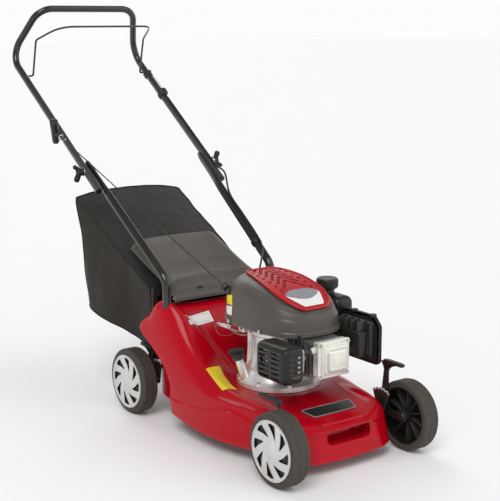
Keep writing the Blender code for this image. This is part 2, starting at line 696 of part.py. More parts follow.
def build_rotor():
    """Shaft, flywheel, blade boss, blade and bolt, which turn as one."""
    cylinder("crankshaft", STEEL, 0.0120, (0, CRANK_Y, 0.0700), (0, CRANK_Y, 0.3180), 24)
    flywheel = turned(
        "flywheel", CAST,
        ((0.076, 0.300), (0.076, 0.2800), (0.01225, 0.2800), (0.01225, 0.300)),
        (0, CRANK_Y, 0), steps=32,
    )
    for i in range(8):
        a = math.radians(45 * i)
        foot = Vector((0.045 * math.cos(a), CRANK_Y + 0.045 * math.sin(a), 0.0))
        tip = Vector((0.074 * math.cos(a + 0.25), CRANK_Y + 0.074 * math.sin(a + 0.25), 0.0))
        vane = box(f"vane_{i}", None, (-0.016, -0.0012, 0.296), (0.016, 0.0012, 0.314))
        vane.location = (*((foot + tip) / 2).xy, 0.305)
        vane.rotation_euler = (0, 0, math.atan2((tip - foot).y, (tip - foot).x))
        join(flywheel, vane)
    turned(
        "blade_boss", STEEL,
        ((0.0280, 0.1000), (0.0280, 0.0600), (0.01225, 0.0600), (0.01225, 0.1000)),
        (0, CRANK_Y, 0), steps=24,
    )
    blade = plate(
        "blade", STEEL,
        [[(-BLADE_R, -0.012), (-BLADE_R + 0.080, -0.024), (-0.060, -0.024), (0.060, -0.024),
          (BLADE_R, -0.024), (BLADE_R, 0.012), (BLADE_R - 0.080, 0.024), (0.060, 0.024),
          (-0.060, 0.024), (-BLADE_R, 0.024)], circle(0.0060, 12)],
        0.0035, (0, CRANK_Y, 0.0575), (0, 0, math.radians(35)),
    )
    bolt = cylinder("blade_bolt", STEEL, 0.0110, (0, CRANK_Y, 0.0460), (0, CRANK_Y, 0.0554), 6)
    join(bolt, cylinder("bolt_shank", None, 0.0055, (0, CRANK_Y, 0.0540), (0, CRANK_Y, 0.0696), 12))
    turned(
        "starter_pulley", BLACK,
        ((0.050, 0.338), (0.050, 0.3355), (0.044, 0.3325), (0.050, 0.3295), (0.050, 0.3270),
         (0.0100, 0.3270), (0.0100, 0.338)),
        (0, CRANK_Y, 0), steps=24,
    )
    return blade


def build_brake_lever():
    outline = [*arc(0.007, 90, 270, 5), (0.030, -0.004), (0.034, 0.0), (0.030, 0.005)]
    lever = plate("brake_lever", STEEL, [outline], 0.003, (0.045, 0.300, 0.2735),
                  (0, 0, math.radians(80)))
    return lever


# ---------------------------------------------------------------- handle

TOP_CORNER = Vector((0.1507, 1.1487, 1.0116))
GRIP_BEND = Vector((0.2001, 1.2375, 0.8805))
UPPER_FOOT = Vector((0.1925, 0.7585, 0.5500))
LOWER_BEND = Vector((0.1597, 0.4890, 0.3580))
LOWER_TOP = Vector((0.1775, 0.8480, 0.6140))
LOWER_FOOT_Z = 0.2240
BAIL_PIVOT = Vector((0.1860, 1.1580, 0.8270))
GUIDE = Vector((-0.2165, 0.9129, 0.6772))
GRIP_ALONG = Vector((0.328, 0.483, -0.812)).normalized()
OUTLET = Vector((-0.0900, 0.3480, 0.3640))
PULL = (GUIDE - OUTLET).normalized()


def mirrored(point):
    return Vector((-point.x, point.y, point.z))


def build_upper_handle():
    half = [UPPER_FOOT, GRIP_BEND, TOP_CORNER]
    route = rounded([*half, *[mirrored(p) for p in reversed(half)]], 0.055, 7)
    tube("upper_handle", TUBE_BLACK, route, UPPER_TUBE_R, 4, (0, FOLD_Y, FOLD_Z))


def build_lower_tube(side, sign):
    """A tube that rises from the deck and is pressed flat where the upper one is bolted on."""
    flip = Matrix.Diagonal((sign, 1, 1))
    foot = Vector((LOWER_BEND.x, LOWER_BEND.y, LOWER_FOOT_Z))
    route = rounded([foot, LOWER_BEND, LOWER_TOP], 0.045, 7)
    route[-1:] = [mix(route[-2], LOWER_TOP, t) for t in (0.45, 0.72, 0.78, 1.0)]
    flat = [0.0] * (len(route) - 2) + [1.0, 1.0]
    sides = 14
    rows = []
    for i, point in enumerate(route):
        ahead = route[min(i + 1, len(route) - 1)] - route[max(i - 1, 0)]
        along = ahead.normalized()
        across = Vector((1, 0, 0))
        across = (across - along * across.dot(along)).normalized()
        other = along.cross(across)
        thin = LOWER_TUBE_R * (1 - 0.52 * flat[i])
        wide = LOWER_TUBE_R * (1 + 0.06 * flat[i])
        rows.append([
            flip @ (point + across * thin * math.cos(2 * math.pi * k / sides)
                    + other * wide * math.sin(2 * math.pi * k / sides))
            for k in range(sides)
        ])
    bm = grid_surface("lower", rows, close_rows=True)
    bmesh.ops.holes_fill(bm, edges=[e for e in bm.edges if e.is_boundary])
    place(from_bmesh(f"lower_handle_{side}", bm), TUBE_BLACK)


def build_wing_knob(side, sign):
    at = Vector((sign * 0.2040, FOLD_Y, FOLD_Z))
    out = Vector((sign, 0, 0))
    knob = cylinder(f"wing_knob_{side}", BLACK, 0.0095, at + out * 0.0004, at + out * 0.018, 16)
    wing = box("wing", None, (-0.0125, -0.0045, -0.0230), (0.0125, 0.0045, 0.0230), 0.003, 1)
    wing.location = at + out * 0.0280
    wing.rotation_euler = (math.radians(-20), 0, 0)
    join(knob, wing)


def build_bail():
    half = [BAIL_PIVOT, Vector((0.1735, 1.155, 0.826)), Vector((0.1730, 1.1305, 0.926)),
            Vector((0.1580, 1.084, 0.945)), Vector((0.1280, 1.025, 0.963))]
    route = rounded([*half, *[mirrored(p) for p in reversed(half)]], 0.016, 3)
    tube("bail", TUBE_BLACK, route, BAIL_R, 2, (0, BAIL_PIVOT.y, BAIL_PIVOT.z))


def handle_point(height, offset=0.0, side=1):
    """A point beside the upper handle's straight leg, offset to its front and upper side."""
    t = (height - UPPER_FOOT.z) / (GRIP_BEND.z - UPPER_FOOT.z)
    point = mix(UPPER_FOOT, GRIP_BEND, t)
    along = (GRIP_BEND - UPPER_FOOT).normalized()
    front = Vector((0, -along.z, along.y)).normalized()
    point += front * offset
    return Vector((side * point.x, point.y, point.z))


def build_bail_bracket():
    """The plastic block on the left leg that guides the brake cable to the bail."""
    centre = handle_point(0.7620, UPPER_TUBE_R + 0.0045)
    bracket = box("cable_bracket", BLACK, (-0.0075, -0.0100, -0.0040), (0.0075, 0.0100, 0.0040),
                  0.0015, 1)
    bracket.location = centre
    along = (GRIP_BEND - UPPER_FOOT).normalized()
    bracket.rotation_euler = (math.atan2(along.z, along.y), 0, 0)


def build_starter_grip():
    centre = GUIDE + PULL * 0.0280
    along = GRIP_ALONG - GRIP_ALONG.project(PULL)
    along.normalize()
    grip = cylinder("starter_grip", BLACK, 0.0105, centre - along * 0.039, centre + along * 0.039,
                    14)
    join(grip, cylinder("grip_neck", None, 0.0055, GUIDE + PULL * 0.0045, centre, 10))


def build_rope_guide():
    """The wire eye on the right leg, which the starter rope runs through."""
    turn = PULL.to_track_quat("Z", "Y").to_matrix()
    route = [GUIDE + turn @ Vector((x, y, 0)) for x, y in circle(0.0068, 16)]
    guide = as_mesh(tube("rope_guide", STEEL, route, 0.0016, 2, closed=True))
    leg = handle_point(GUIDE.z, 0.0, -1)
    leg += (GUIDE - leg).project(mirrored(GRIP_BEND - UPPER_FOOT))
    out = (GUIDE - leg).normalized()
    join(guide, cylinder("guide_stem", None, 0.0030, leg + out * (UPPER_TUBE_R + 2 * GAP),
                         GUIDE - out * 0.0066, 10))


def build_starter_rope():
    start, end = OUTLET, GUIDE - PULL * 0.0
    route = [mix(start, end, i / 24) for i in range(25)]
    tube("starter_rope", BLACK, route, ROPE_R, 2)


def build_brake_cable():
    """From the bracket down the front of the left legs, then across to the engine's brake."""
    beside = UPPER_TUBE_R + CABLE_R + 0.0012
    lower_along = (LOWER_TOP - LOWER_BEND).normalized()
    lower_front = Vector((0, -lower_along.z, lower_along.y)).normalized()
    low = [mix(LOWER_BEND, LOWER_TOP, t) + lower_front * (LOWER_TUBE_R + CABLE_R + 0.0030)
           for t in (0.58, 0.40, 0.20)]
    points = [
        *[handle_point(z, beside) for z in (0.7500, 0.700, 0.650, 0.600, 0.575)],
        Vector((0.1880, 0.7370, 0.5700)), *low,
        (0.1480, 0.5090, 0.3960), (0.1180, 0.4750, 0.3780), (0.0850, 0.4400, 0.3520),
        (0.0640, 0.4100, 0.3120), (0.0560, 0.3820, 0.2820), (0.0530, 0.3450, 0.2735),
    ]
    tube("brake_cable", BLACK, smooth_route(points, 64), CABLE_R, 2)


def build_cable_clip():
    along = (LOWER_TOP - LOWER_BEND).normalized()
    centre = mix(LOWER_BEND, LOWER_TOP, 0.19)
    clip = turned(
        "cable_clip", BLACK,
        ((0.0133, 0.007), (0.0133, -0.007), (0.0114, -0.007), (0.0114, 0.007)), centre, steps=16,
    )
    clip.rotation_euler = along.to_track_quat("Z", "Y").to_euler()


# ---------------------------------------------------------------- grass bag and flap

# Half sections of the bag: each has the rim, the side's widest point, the lower corner and the
# middle of the floor, as (half width, y, z).
BAG_STATIONS = (
    ((0.150, 0.5840, 0.318), (0.147, 0.5840, 0.240), (0.138, 0.5840, 0.122), 0.114),
    ((0.158, 0.6500, 0.362), (0.150, 0.6500, 0.295), (0.134, 0.6550, 0.160), 0.140),
    ((0.160, 0.7200, 0.398), (0.191, 0.7220, 0.306), (0.168, 0.7150, 0.184), 0.165),
    ((0.161, 0.8200, 0.449), (0.203, 0.7850, 0.330), (0.194, 0.7650, 0.200), 0.182),
    ((0.164, 0.9100, 0.494), (0.203, 0.8280, 0.370), (0.200, 0.8150, 0.218), 0.202),
    ((0.165, 0.9400, 0.508), (0.194, 0.8480, 0.375), (0.188, 0.8300, 0.228), 0.214),
)
BAG_CROWN = 0.016


def bag_section(rim, side, corner, floor_z):
    """One closed ring round the bag, from the middle of the top and back to it."""
    (rx, ry, rz), (sx, sy, sz), (cx, cy, cz) = rim, side, corner
    crown = (0.0, ry, rz + BAG_CROWN)
    half = [(rx * 0.6, ry, rz + BAG_CROWN * 0.75), rim, (sx, sy, sz), (cx, cy, cz + 0.012),
            (cx * 0.6, cy, floor_z)]
    other = [(-x, y, z) for x, y, z in reversed(half)]
    return [crown, *half, (0.0, cy, floor_z), *other]


def build_bag():
    rows = [bag_section(*station) for station in BAG_STATIONS]
    bm = grid_surface("grass_bag", rows, close_rows=True)
    last = list(bm.verts)[-len(rows[-1]):]
    # The back bulges, and closes on its middle.
    middle = sum((v.co for v in last), Vector()) / len(last)
    inner = [bm.verts.new(mix(v.co, middle, 0.45) + Vector((0, 0.016, 0))) for v in last]
    hub = bm.verts.new(middle + Vector((0, 0.018, 0)))
    count = len(last)
    for i in range(count):
        j = (i + 1) % count
        bm.faces.new((last[i], last[j], inner[j], inner[i]))
        bm.faces.new((inner[i], inner[j], hub))
    bag = place(from_bmesh("grass_bag", bm), FABRIC)
    shell = bag.modifiers.new("shell", "SOLIDIFY")
    shell.thickness = 0.003
    shell.offset = -1.0


def build_bag_frame():
    """The stiff mouth that hangs on the deck's back."""
    frame = box("bag_frame", BLACK, (-0.150, 0.5740, 0.108), (0.150, 0.5824, 0.322), 0.003, 1)
    mouth = box("mouth", None, (-0.134, 0.560, 0.122), (0.134, 0.600, 0.300), 0.010, 2)
    cut(frame, mouth)


FLAP_HINGE_Y, FLAP_HINGE_Z = 0.4900, 0.3100
FLAP_STATIONS = (
    # y, height of the panel, height of the skirt
    (0.4990, 0.3090, 0.3060), (0.5200, 0.3300, 0.3240), (0.5500, 0.3520, 0.3440),
    (0.6200, 0.3840, 0.3700), (0.7000, 0.4200, 0.4040),
)


def build_flap():
    """The lid over the bag's mouth, which hinges at its front edge."""
    rows = []
    for y, panel_z, skirt_z in FLAP_STATIONS:
        wide = 0.128 if y < 0.53 else 0.136
        half = [(0.0, y, panel_z + 0.003), (0.060, y, panel_z + 0.002), (0.104, y, panel_z),
                (wide, y, skirt_z)]
        rows.append([(-x, y, z) for x, y, z in reversed(half[1:])] + half)
    flap = from_bmesh("rear_flap", grid_surface("rear_flap", rows))
    hinge = Vector((0, FLAP_HINGE_Y, FLAP_HINGE_Z))
    for vert in flap.data.vertices:
        vert.co -= hinge
    flap = place(flap, GREY, hinge)
    shell = flap.modifiers.new("shell", "SOLIDIFY")
    shell.thickness = 0.003
    shell.offset = 0.0
    knuckles = []
    for x in (-0.095, 0.0, 0.095):
        knuckle = box("knuckle", None, (x - 0.014, 0.4845, 0.3045), (x + 0.014, 0.5030, 0.3130),
                      0.001, 1)
        knuckles.append(knuckle)
    join(flap, *knuckles)
    bores = [cylinder("bore", None, 0.0028, (-0.2, FLAP_HINGE_Y, FLAP_HINGE_Z - 0.0010),
                      (0.2, FLAP_HINGE_Y, FLAP_HINGE_Z - 0.0010), 12)]
    cut(flap, *bores)


def build_flap_rod():
    cylinder("flap_hinge_rod", STEEL, 0.0025, (-0.1400, FLAP_HINGE_Y, FLAP_HINGE_Z - 0.0010),
             (0.1400, FLAP_HINGE_Y, FLAP_HINGE_Z - 0.0010), 12)


# ---------------------------------------------------------------- assembly

def main():
    build_deck()
    build_badge()
    for name, sign, axle_y, pivot_side, grip_at in WHEELS:
        build_wheel(name, sign, axle_y)
        build_height_lever(name, sign, axle_y, pivot_side, grip_at)
        build_quadrant(name, sign, axle_y, pivot_side, grip_at)
    build_sump()
    build_dipstick()
    build_cylinder_block()
    build_valve_cover()
    build_spark_plug()
    build_muffler()
    build_muffler_guard()
    build_fuel_system()
    build_air_filter()
    build_cowl()
    build_grille()
    build_rotor()
    build_brake_lever()
    build_upper_handle()
    for side, sign in SIDES:
        build_lower_tube(side, sign)
        build_wing_knob(side, sign)
    build_bail()
    build_bail_bracket()
    build_starter_grip()
    build_rope_guide()
    build_starter_rope()
    build_brake_cable()
    build_cable_clip()
    build_bag()
    build_bag_frame()
    build_flap()
    build_flap_rod()


main()
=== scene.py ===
"""The looks of a push lawn mower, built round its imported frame.

Every point below is in the machine's own frame, in metres: x to its left, y from the front axle
towards the operator, z up. ORIGIN carries it to the frame's own place.
"""
from math import atan2, copysign, cos, degrees, hypot, pi, radians, sin, sqrt, tan, tau

import bmesh
import bpy
from mathutils import Matrix, Vector, noise
from mathutils.bvhtree import BVHTree


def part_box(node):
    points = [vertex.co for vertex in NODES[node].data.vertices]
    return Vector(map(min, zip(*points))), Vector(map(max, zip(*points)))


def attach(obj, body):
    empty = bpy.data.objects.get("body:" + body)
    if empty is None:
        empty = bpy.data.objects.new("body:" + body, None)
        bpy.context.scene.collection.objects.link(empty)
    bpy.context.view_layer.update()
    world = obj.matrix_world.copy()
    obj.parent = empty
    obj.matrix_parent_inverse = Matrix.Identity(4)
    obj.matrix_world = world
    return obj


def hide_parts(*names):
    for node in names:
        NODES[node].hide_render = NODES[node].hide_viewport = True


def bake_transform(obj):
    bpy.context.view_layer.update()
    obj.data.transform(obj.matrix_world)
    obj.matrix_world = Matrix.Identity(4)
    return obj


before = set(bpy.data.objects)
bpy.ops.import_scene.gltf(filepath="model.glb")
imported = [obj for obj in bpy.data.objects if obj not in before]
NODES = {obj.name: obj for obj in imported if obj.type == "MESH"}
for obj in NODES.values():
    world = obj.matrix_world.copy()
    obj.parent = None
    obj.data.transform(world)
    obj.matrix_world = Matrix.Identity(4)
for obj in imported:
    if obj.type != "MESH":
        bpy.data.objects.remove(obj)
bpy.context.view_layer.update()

TYRE_LOW, TYRE_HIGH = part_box("front_right_tyre")
REAR_LOW, REAR_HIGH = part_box("rear_right_tyre")
ORIGIN = Vector((0.0, (TYRE_LOW.y + TYRE_HIGH.y) / 2, 0.0))
WHEEL_R = TYRE_HIGH.z / 2
WHEEL_W = TYRE_HIGH.x - TYRE_LOW.x
WHEEL_FACE_X = -TYRE_LOW.x
REAR_AXLE_Y = (REAR_LOW.y + REAR_HIGH.y) / 2 - ORIGIN.y

CRANK_Y = 0.247
SEAT_Z = 0.1365
FLANGE_Z = SEAT_Z + 0.0006
PIVOT_REACH, PIVOT_Z = 0.05, 0.0925
FOLD_Y, FOLD_Z = 0.82, 0.594
UPPER_TUBE_R, LOWER_TUBE_R = 0.0095, 0.011
SIDES = (("right", -1), ("left", 1))
TO_MINUS_X = (0.0, -pi / 2, 0.0)
OUTWARD = {1: (0.0, pi / 2, 0.0), -1: TO_MINUS_X}
SIDE_VIEW = (pi / 2, 0.0, pi / 2)
LEVER_X, QUADRANT_X, KNOB_X = 0.1595, 0.15, 0.204
ROPE_R, CABLE_R, BAIL_R = 0.0014, 0.0025, 0.0028
DECK_WALL, COWL_WALL, FLAP_WALL, CLOTH_WALL = 0.003, 0.0025, 0.0028, 0.0016
FILLER_FOOT, FILLER_MOUTH = Vector((-0.0867, 0.262, 0.15)), Vector((-0.103, 0.267, 0.204))


# ---------------------------------------------------------------- camera, floor and light

def linked(obj):
    bpy.context.scene.collection.objects.link(obj)
    return obj


def add_node(tree, kind, inputs=None, **settings):
    """A shader node: its settings, then each socket set to a value or joined to an output."""
    made = tree.nodes.new("ShaderNode" + kind)
    for setting, value in settings.items():
        setattr(made, setting, value)
    for socket, value in (inputs or {}).items():
        if isinstance(value, bpy.types.NodeSocket):
            tree.links.new(value, made.inputs[socket])
        else:
            made.inputs[socket].default_value = value
    return made.outputs


def blank_material(name):
    """A new material, its node tree and its shader's sockets."""
    look = bpy.data.materials.new(name)
    look.use_nodes = True
    return look, look.node_tree, look.node_tree.nodes["Principled BSDF"].inputs


CAMERA_AT = Vector((-1.6363, -1.8688, 0.9888))
CAMERA_PITCH, CAMERA_YAW, CAMERA_LENS = 78.679, -36.248, 83.8
FLOOR_GREY, FLOOR_SIZE, FLOOR_DROP = 0.93, 40.0, 0.0006
# name, direction that the light comes from, angle of its disc in degrees, and strength
SUNS = (
    ("key", (-0.5, -0.42, 0.76), 32.0, 1.45),
    ("fill", (0.55, -0.6, 0.58), 55.0, 0.7),
    ("back", (0.25, 0.75, 0.62), 40.0, 0.65),
)


def build_stage():
    camera = linked(bpy.data.objects.new("camera", bpy.data.cameras.new("camera")))
    camera.location = ORIGIN + CAMERA_AT
    camera.rotation_euler = (radians(CAMERA_PITCH), 0.0, radians(CAMERA_YAW))
    camera.data.lens = CAMERA_LENS
    camera.data.sensor_width = 36.0
    camera.data.dof.use_dof = False
    bpy.context.scene.camera = camera

    bm = bmesh.new()
    bmesh.ops.create_grid(bm, x_segments=8, y_segments=8, size=FLOOR_SIZE)
    mesh = bpy.data.meshes.new("floor")
    bm.to_mesh(mesh)
    bm.free()
    floor = linked(bpy.data.objects.new("floor", mesh))
    floor.location = (0.0, 0.0, -FLOOR_DROP)
    look, _, sockets = blank_material("floor")
    sockets["Base Color"].default_value = (FLOOR_GREY, FLOOR_GREY, FLOOR_GREY, 1.0)
    sockets["Roughness"].default_value = 0.85
    sockets["Specular IOR Level"].default_value = 0.2
    mesh.materials.append(look)

    build_sky()
    for name, at, spread, power in SUNS:
        light = bpy.data.lights.new(name, "SUN")
        light.energy = power
        light.angle = radians(spread)
        linked(bpy.data.objects.new(name, light)).rotation_euler = aim(Vector(at))


def build_sky():
    """White at the horizon, and dimmer overhead, as a lit studio wall is."""
    world = bpy.data.worlds.new("studio")
    world.use_nodes = True
    tree = world.node_tree
    where = add_node(tree, "TexCoord")["Generated"]
    height = add_node(tree, "SeparateXYZ", {"Vector": where})["Z"]
    fade = add_node(tree, "MapRange", {"Value": height, "From Min": 0.04, "From Max": 0.55,
        "To Min": 0.98, "To Max": 0.36}, interpolation_type="SMOOTHSTEP")
    backdrop = tree.nodes["Background"].inputs
    tree.links.new(fade["Result"], backdrop["Color"])
    backdrop["Strength"].default_value = 1.0
    bpy.context.scene.world = world
    bpy.context.scene.view_settings.view_transform = "Standard"


# ---------------------------------------------------------------- materials

def rgba(colour):
    return (*colour, 1.0) if isinstance(colour, tuple) else colour


def material(name, colour, rough, metal=0.0, second=None, patch=5.0, grain=1100.0, depth=0.00006,
        spread=0.05, wear=None, specks=0.45, **shader):
    """A surface with soft colour patches, uneven gloss, a fine grain and worn edges."""
    look, tree, sockets = blank_material(name)
    sockets["Metallic"].default_value = metal
    for socket, value in shader.items():
        sockets[socket.replace("_", " ")].default_value = value
    where = add_node(tree, "TexCoord")["Object"]

    def spots(scale, detail):
        return add_node(tree, "TexNoise", {"Vector": where, "Scale": scale,
            "Detail": detail})["Fac"]

    def ranged(value, low, high, to_low, to_high):
        return add_node(tree, "MapRange", {"Value": value, "From Min": low, "From Max": high,
            "To Min": to_low, "To Max": to_high})["Result"]

    def mixed(share, a, b):
        return add_node(tree, "Mix", {"Factor": share, "A": rgba(a), "B": rgba(b)},
            data_type="RGBA")["Result"]

    second = second or tuple(c * 0.82 for c in colour)
    base = mixed(ranged(spots(patch, 3.0), 0.35, 0.65, 0.0, 1.0), colour, second)
    dust = tuple(min(1.0, c * 1.18 + 0.004) for c in colour)
    base = mixed(ranged(spots(patch * 22.0, 4.0), 0.5, 0.74, 0.0, specks), base, dust)
    if wear:
        edge = add_node(tree, "NewGeometry")["Pointiness"]
        base = mixed(ranged(edge, 0.525, 0.6, 0.0, 0.55), base, wear)
    gloss = ranged(spots(patch * 9.0, 3.0), 0.3, 0.7, rough - spread, rough + spread)
    bump = add_node(tree, "Bump", {"Distance": depth, "Height": spots(grain, 3.0)})["Normal"]
    for socket, value in (("Base Color", base), ("Roughness", gloss), ("Normal", bump)):
        tree.links.new(value, sockets[socket])
    look.diffuse_color = rgba(colour)
    return look


def cloth(name, colour, thread, per_metre, rib, depth):
    """Woven cloth: warp and weft read from the piece's own cut pattern, in metres."""
    look = material(name, colour, 0.85, second=tuple(c * 0.75 for c in colour), patch=7.0,
        spread=0.08, Specular_IOR_Level=0.2, Sheen_Weight=0.12, Sheen_Roughness=0.5)
    tree = look.node_tree
    sockets = tree.nodes["Principled BSDF"].inputs
    pattern = add_node(tree, "UVMap", uv_map="weave")["UV"]
    across = add_node(tree, "SeparateXYZ", {"Vector": pattern})
    waves = {}
    for socket, (axis, share) in enumerate((("X", 1.0), ("Y", rib))):
        turns = add_node(tree, "Math", {0: across[axis], 1: per_metre * share * tau},
            operation="MULTIPLY")[0]
        waves[socket] = add_node(tree, "Math", {0: turns}, operation="SINE")[0]
    over = add_node(tree, "Math", waves, operation="MAXIMUM")[0]
    share = add_node(tree, "MapRange", {"Value": over, "From Min": 0.2, "To Max": 0.8})["Result"]
    under = sockets["Base Color"].links[0].from_socket
    base = add_node(tree, "Mix", {"Factor": share, "A": under, "B": rgba(thread)},
        data_type="RGBA")["Result"]
    bump = add_node(tree, "Bump", {"Distance": depth, "Height": over,
        "Normal": sockets["Normal"].links[0].from_socket})["Normal"]
    tree.links.new(base, sockets["Base Color"])
    tree.links.new(bump, sockets["Normal"])
    return look


RED = material("red_moulding", (0.45, 0.0006, 0.01), 0.2, second=(0.41, 0.0005, 0.009), patch=1.6,
    grain=900.0, depth=0.00002, spread=0.03, specks=0.05, wear=(0.6, 0.02, 0.03),
    Specular_IOR_Level=0.18, Coat_Weight=0.1, Coat_Roughness=0.1)
RED_SATIN = material("red_louvre", (0.42, 0.002, 0.01), 0.28, second=(0.36, 0.001, 0.008),
    patch=6.0, grain=900.0, specks=0.1, wear=(0.55, 0.02, 0.03), Specular_IOR_Level=0.35)
# The louvre's red at about half brightness: painted shade for the floors and walls of its slots.
RED_SLOT_SHADE = material("red_louvre_slot_shade", (0.23, 0.0005, 0.003), 0.8, patch=9.0, specks=0.1)
COWL = material("cowl_moulding", (0.078, 0.069, 0.058), 0.36, second=(0.068, 0.06, 0.05), patch=3.0,
    specks=0.2, Specular_IOR_Level=0.4, grain=1500.0, depth=0.00009, wear=(0.17, 0.16, 0.15))
BLACK = material("black_moulding", (0.014, 0.0125, 0.0105), 0.34, patch=8.0, grain=1400.0,
    depth=0.00006, wear=(0.07, 0.066, 0.06), specks=0.3, Specular_IOR_Level=0.35)
FLAP = material("flap_moulding", (0.082, 0.073, 0.061), 0.42, second=(0.068, 0.061, 0.052),
    patch=4.0, specks=0.2, Specular_IOR_Level=0.4, grain=1300.0, depth=0.0001, wear=(0.14, 0.13,
    0.12))
PAINT = material("black_tube", (0.009, 0.008, 0.0065), 0.22, specks=0.15, Specular_IOR_Level=0.35,
    patch=6.0, grain=700.0, depth=0.00002, wear=(0.1, 0.1, 0.09), Coat_Weight=0.6,
    Coat_Roughness=0.12)
ZINC = material("zinc_plate", (0.66, 0.66, 0.64), 0.28, metal=1.0, second=(0.56, 0.56, 0.54),
    patch=30.0, grain=1200.0, depth=0.00003)
CAST = material("cast_alloy", (0.88, 0.87, 0.85), 0.34, metal=0.7, specks=0.08, second=(0.76, 0.75,
    0.73), patch=14.0, grain=200.0, depth=0.00002, spread=0.02)
# Cast alloy darkened to paint the shade over the fins under the cowl and guard; one linkage wire
# takes it too.
SHADED_ALLOY = material("shade_darkened_alloy", (0.16, 0.155, 0.15), 0.5, metal=0.6, patch=22.0, grain=900.0,
    depth=0.0002)
COVER = material("valve_cover_alloy", (0.8, 0.79, 0.72), 0.38, metal=0.45, second=(0.72, 0.71,
    0.64), patch=20.0, grain=1000.0, depth=0.0001)
SILVER = material("cap_silver", (0.66, 0.655, 0.64), 0.34, metal=0.25, second=(0.6, 0.595, 0.58),
    specks=0.2, patch=14.0, grain=1600.0, depth=0.00003, Coat_Weight=0.2)
RUBBER = material("tyre_rubber", (0.056, 0.05, 0.042), 0.7, second=(0.052, 0.046, 0.04),
    Specular_IOR_Level=0.35, patch=12.0, grain=1100.0, depth=0.00014, wear=(0.12, 0.115, 0.11))
BRASS = material("passivated_steel", (0.42, 0.46, 0.4), 0.32, metal=0.9, second=(0.5, 0.44, 0.34),
    patch=60.0, grain=1200.0)
PAPER = material("filter_paper", (0.75, 0.65, 0.4), 0.9, patch=40.0, grain=800.0, depth=0.0002)
CERAMIC = material("white_ceramic", (0.85, 0.85, 0.82), 0.22, patch=20.0, spread=0.03)
WHITE = material("label_white", (0.82, 0.82, 0.8), 0.35, second=(0.76, 0.76, 0.74), patch=18.0,
    depth=0.00002)
PRINT = material("label_grey", (0.3, 0.31, 0.31), 0.4, patch=18.0, depth=0.00002)
YELLOW = material("label_yellow", (0.88, 0.68, 0.02), 0.35, second=(0.82, 0.62, 0.02), patch=18.0,
    depth=0.00002)
BADGE = material("badge_grey", (0.26, 0.27, 0.29), 0.3, second=(0.22, 0.23, 0.25), patch=20.0,
    depth=0.00002)
ROPE = material("braided_rope", (0.035, 0.033, 0.03), 0.8, patch=200.0, grain=1600.0, depth=0.0003)
MESH = cloth("bag_mesh", (0.008, 0.007, 0.006), (0.05, 0.044, 0.037), 260.0, 0.9, 0.0004)
WEAVE = cloth("bag_weave", (0.018, 0.016, 0.013), (0.046, 0.04, 0.033), 260.0, 0.35, 0.0003)
BINDING = cloth("bag_binding", (0.014, 0.013, 0.012), (0.03, 0.028, 0.025), 500.0, 1.0, 0.0002)


# ---------------------------------------------------------------- building blocks

def aim(direction):
    """The turn that points a shape's z along a direction."""
    return direction.to_track_quat("Z", "Y").to_euler()


def place(obj, look, at=(0, 0, 0), turn=(0, 0, 0)):
    linked(obj)
    obj.location = at
    obj.rotation_euler = turn
    obj.data.materials.append(look)
    return obj


def from_bmesh(name, bm, look):
    bmesh.ops.recalc_face_normals(bm, faces=bm.faces)
    mesh = bpy.data.meshes.new(name)
    bm.to_mesh(mesh)
    bm.free()
    return place(bpy.data.objects.new(name, mesh), look)


def bevelled(obj, width, segments=2, angle=30):
    bevel = obj.modifiers.new("bevel", "BEVEL")
    bevel.width = width
    bevel.segments = segments
    bevel.angle_limit = radians(angle)
    return obj


def box(low, high, look, round_by=0.0012, segments=3):
    low, high = Vector(low), Vector(high)
    bm = bmesh.new()
    bmesh.ops.create_cube(bm, size=1.0)
    bmesh.ops.scale(bm, vec=high - low, verts=bm.verts)
    obj = from_bmesh("box", bm, look)
    obj.location = (low + high) / 2
    return bevelled(obj, round_by, segments) if round_by else obj


def bar(start, end, radius, look, sides=32, end_radius=None, round_by=0.0):
    start, end = Vector(start), Vector(end)
    bm = bmesh.new()
    bmesh.ops.create_cone(bm, cap_ends=True, segments=sides, depth=(end - start).length,
        radius1=radius, radius2=radius if end_radius is None else end_radius)
    obj = from_bmesh("bar", bm, look)
    obj.location = (start + end) / 2
    obj.rotation_euler = aim(end - start)
    return bevelled(obj, round_by, 3) if round_by else obj


def lathe(profile, look, at=(0, 0, 0), turn=(0, 0, 0), steps=72, ring=True):
    """A profile of (radius, height) points, running down its outer side, turned about z."""
    mesh = bpy.data.meshes.new("lathe")
    edges = [(i, i + 1) for i in range(len(profile) - 1)]
    if ring:
        edges.append((len(profile) - 1, 0))
    mesh.from_pydata([(r, 0.0, z) for r, z in profile], edges, [])
    obj = place(bpy.data.objects.new("lathe", mesh), look, at, turn)
    screw = obj.modifiers.new("screw", "SCREW")
    screw.steps = screw.render_steps = steps
    screw.use_merge_vertices = True
    screw.merge_threshold = 0.00001
    return obj


def rounded(points, radius, steps=5):
    """A route with its corners rounded to arcs, each as large as its two sides allow."""
    points = [Vector(p) for p in points]
    route = [points[0]]
    for before, corner, after in zip(points, points[1:], points[2:]):
        to_before, to_after = (before - corner), (after - corner)
        a, b = to_before.normalized(), to_after.normalized()
        bend = a.angle(b)
        if bend > radians(178):
            route.append(corner)
            continue
        reach = min(radius / tan(bend / 2), to_before.length * 0.49, to_after.length * 0.49)
        actual = reach * tan(bend / 2)
        centre = corner + (a + b).normalized() * hypot(reach, actual)
        start, end = corner + a * reach, corner + b * reach
        for i in range(steps + 1):
            route.append(centre + (start - centre).slerp(end - centre, i / steps) * actual)
    route.append(points[-1])
    return route


def rounded_outline(points, radius, steps=4):
    """A closed flat outline with its corners rounded."""
    ring = [Vector((*p, 0.0)) for p in points]
    middle = (ring[-1] + ring[0]) / 2
    route = rounded([middle, *ring, middle], radius, steps)
    return [(p.x, p.y) for p in route[1:]]


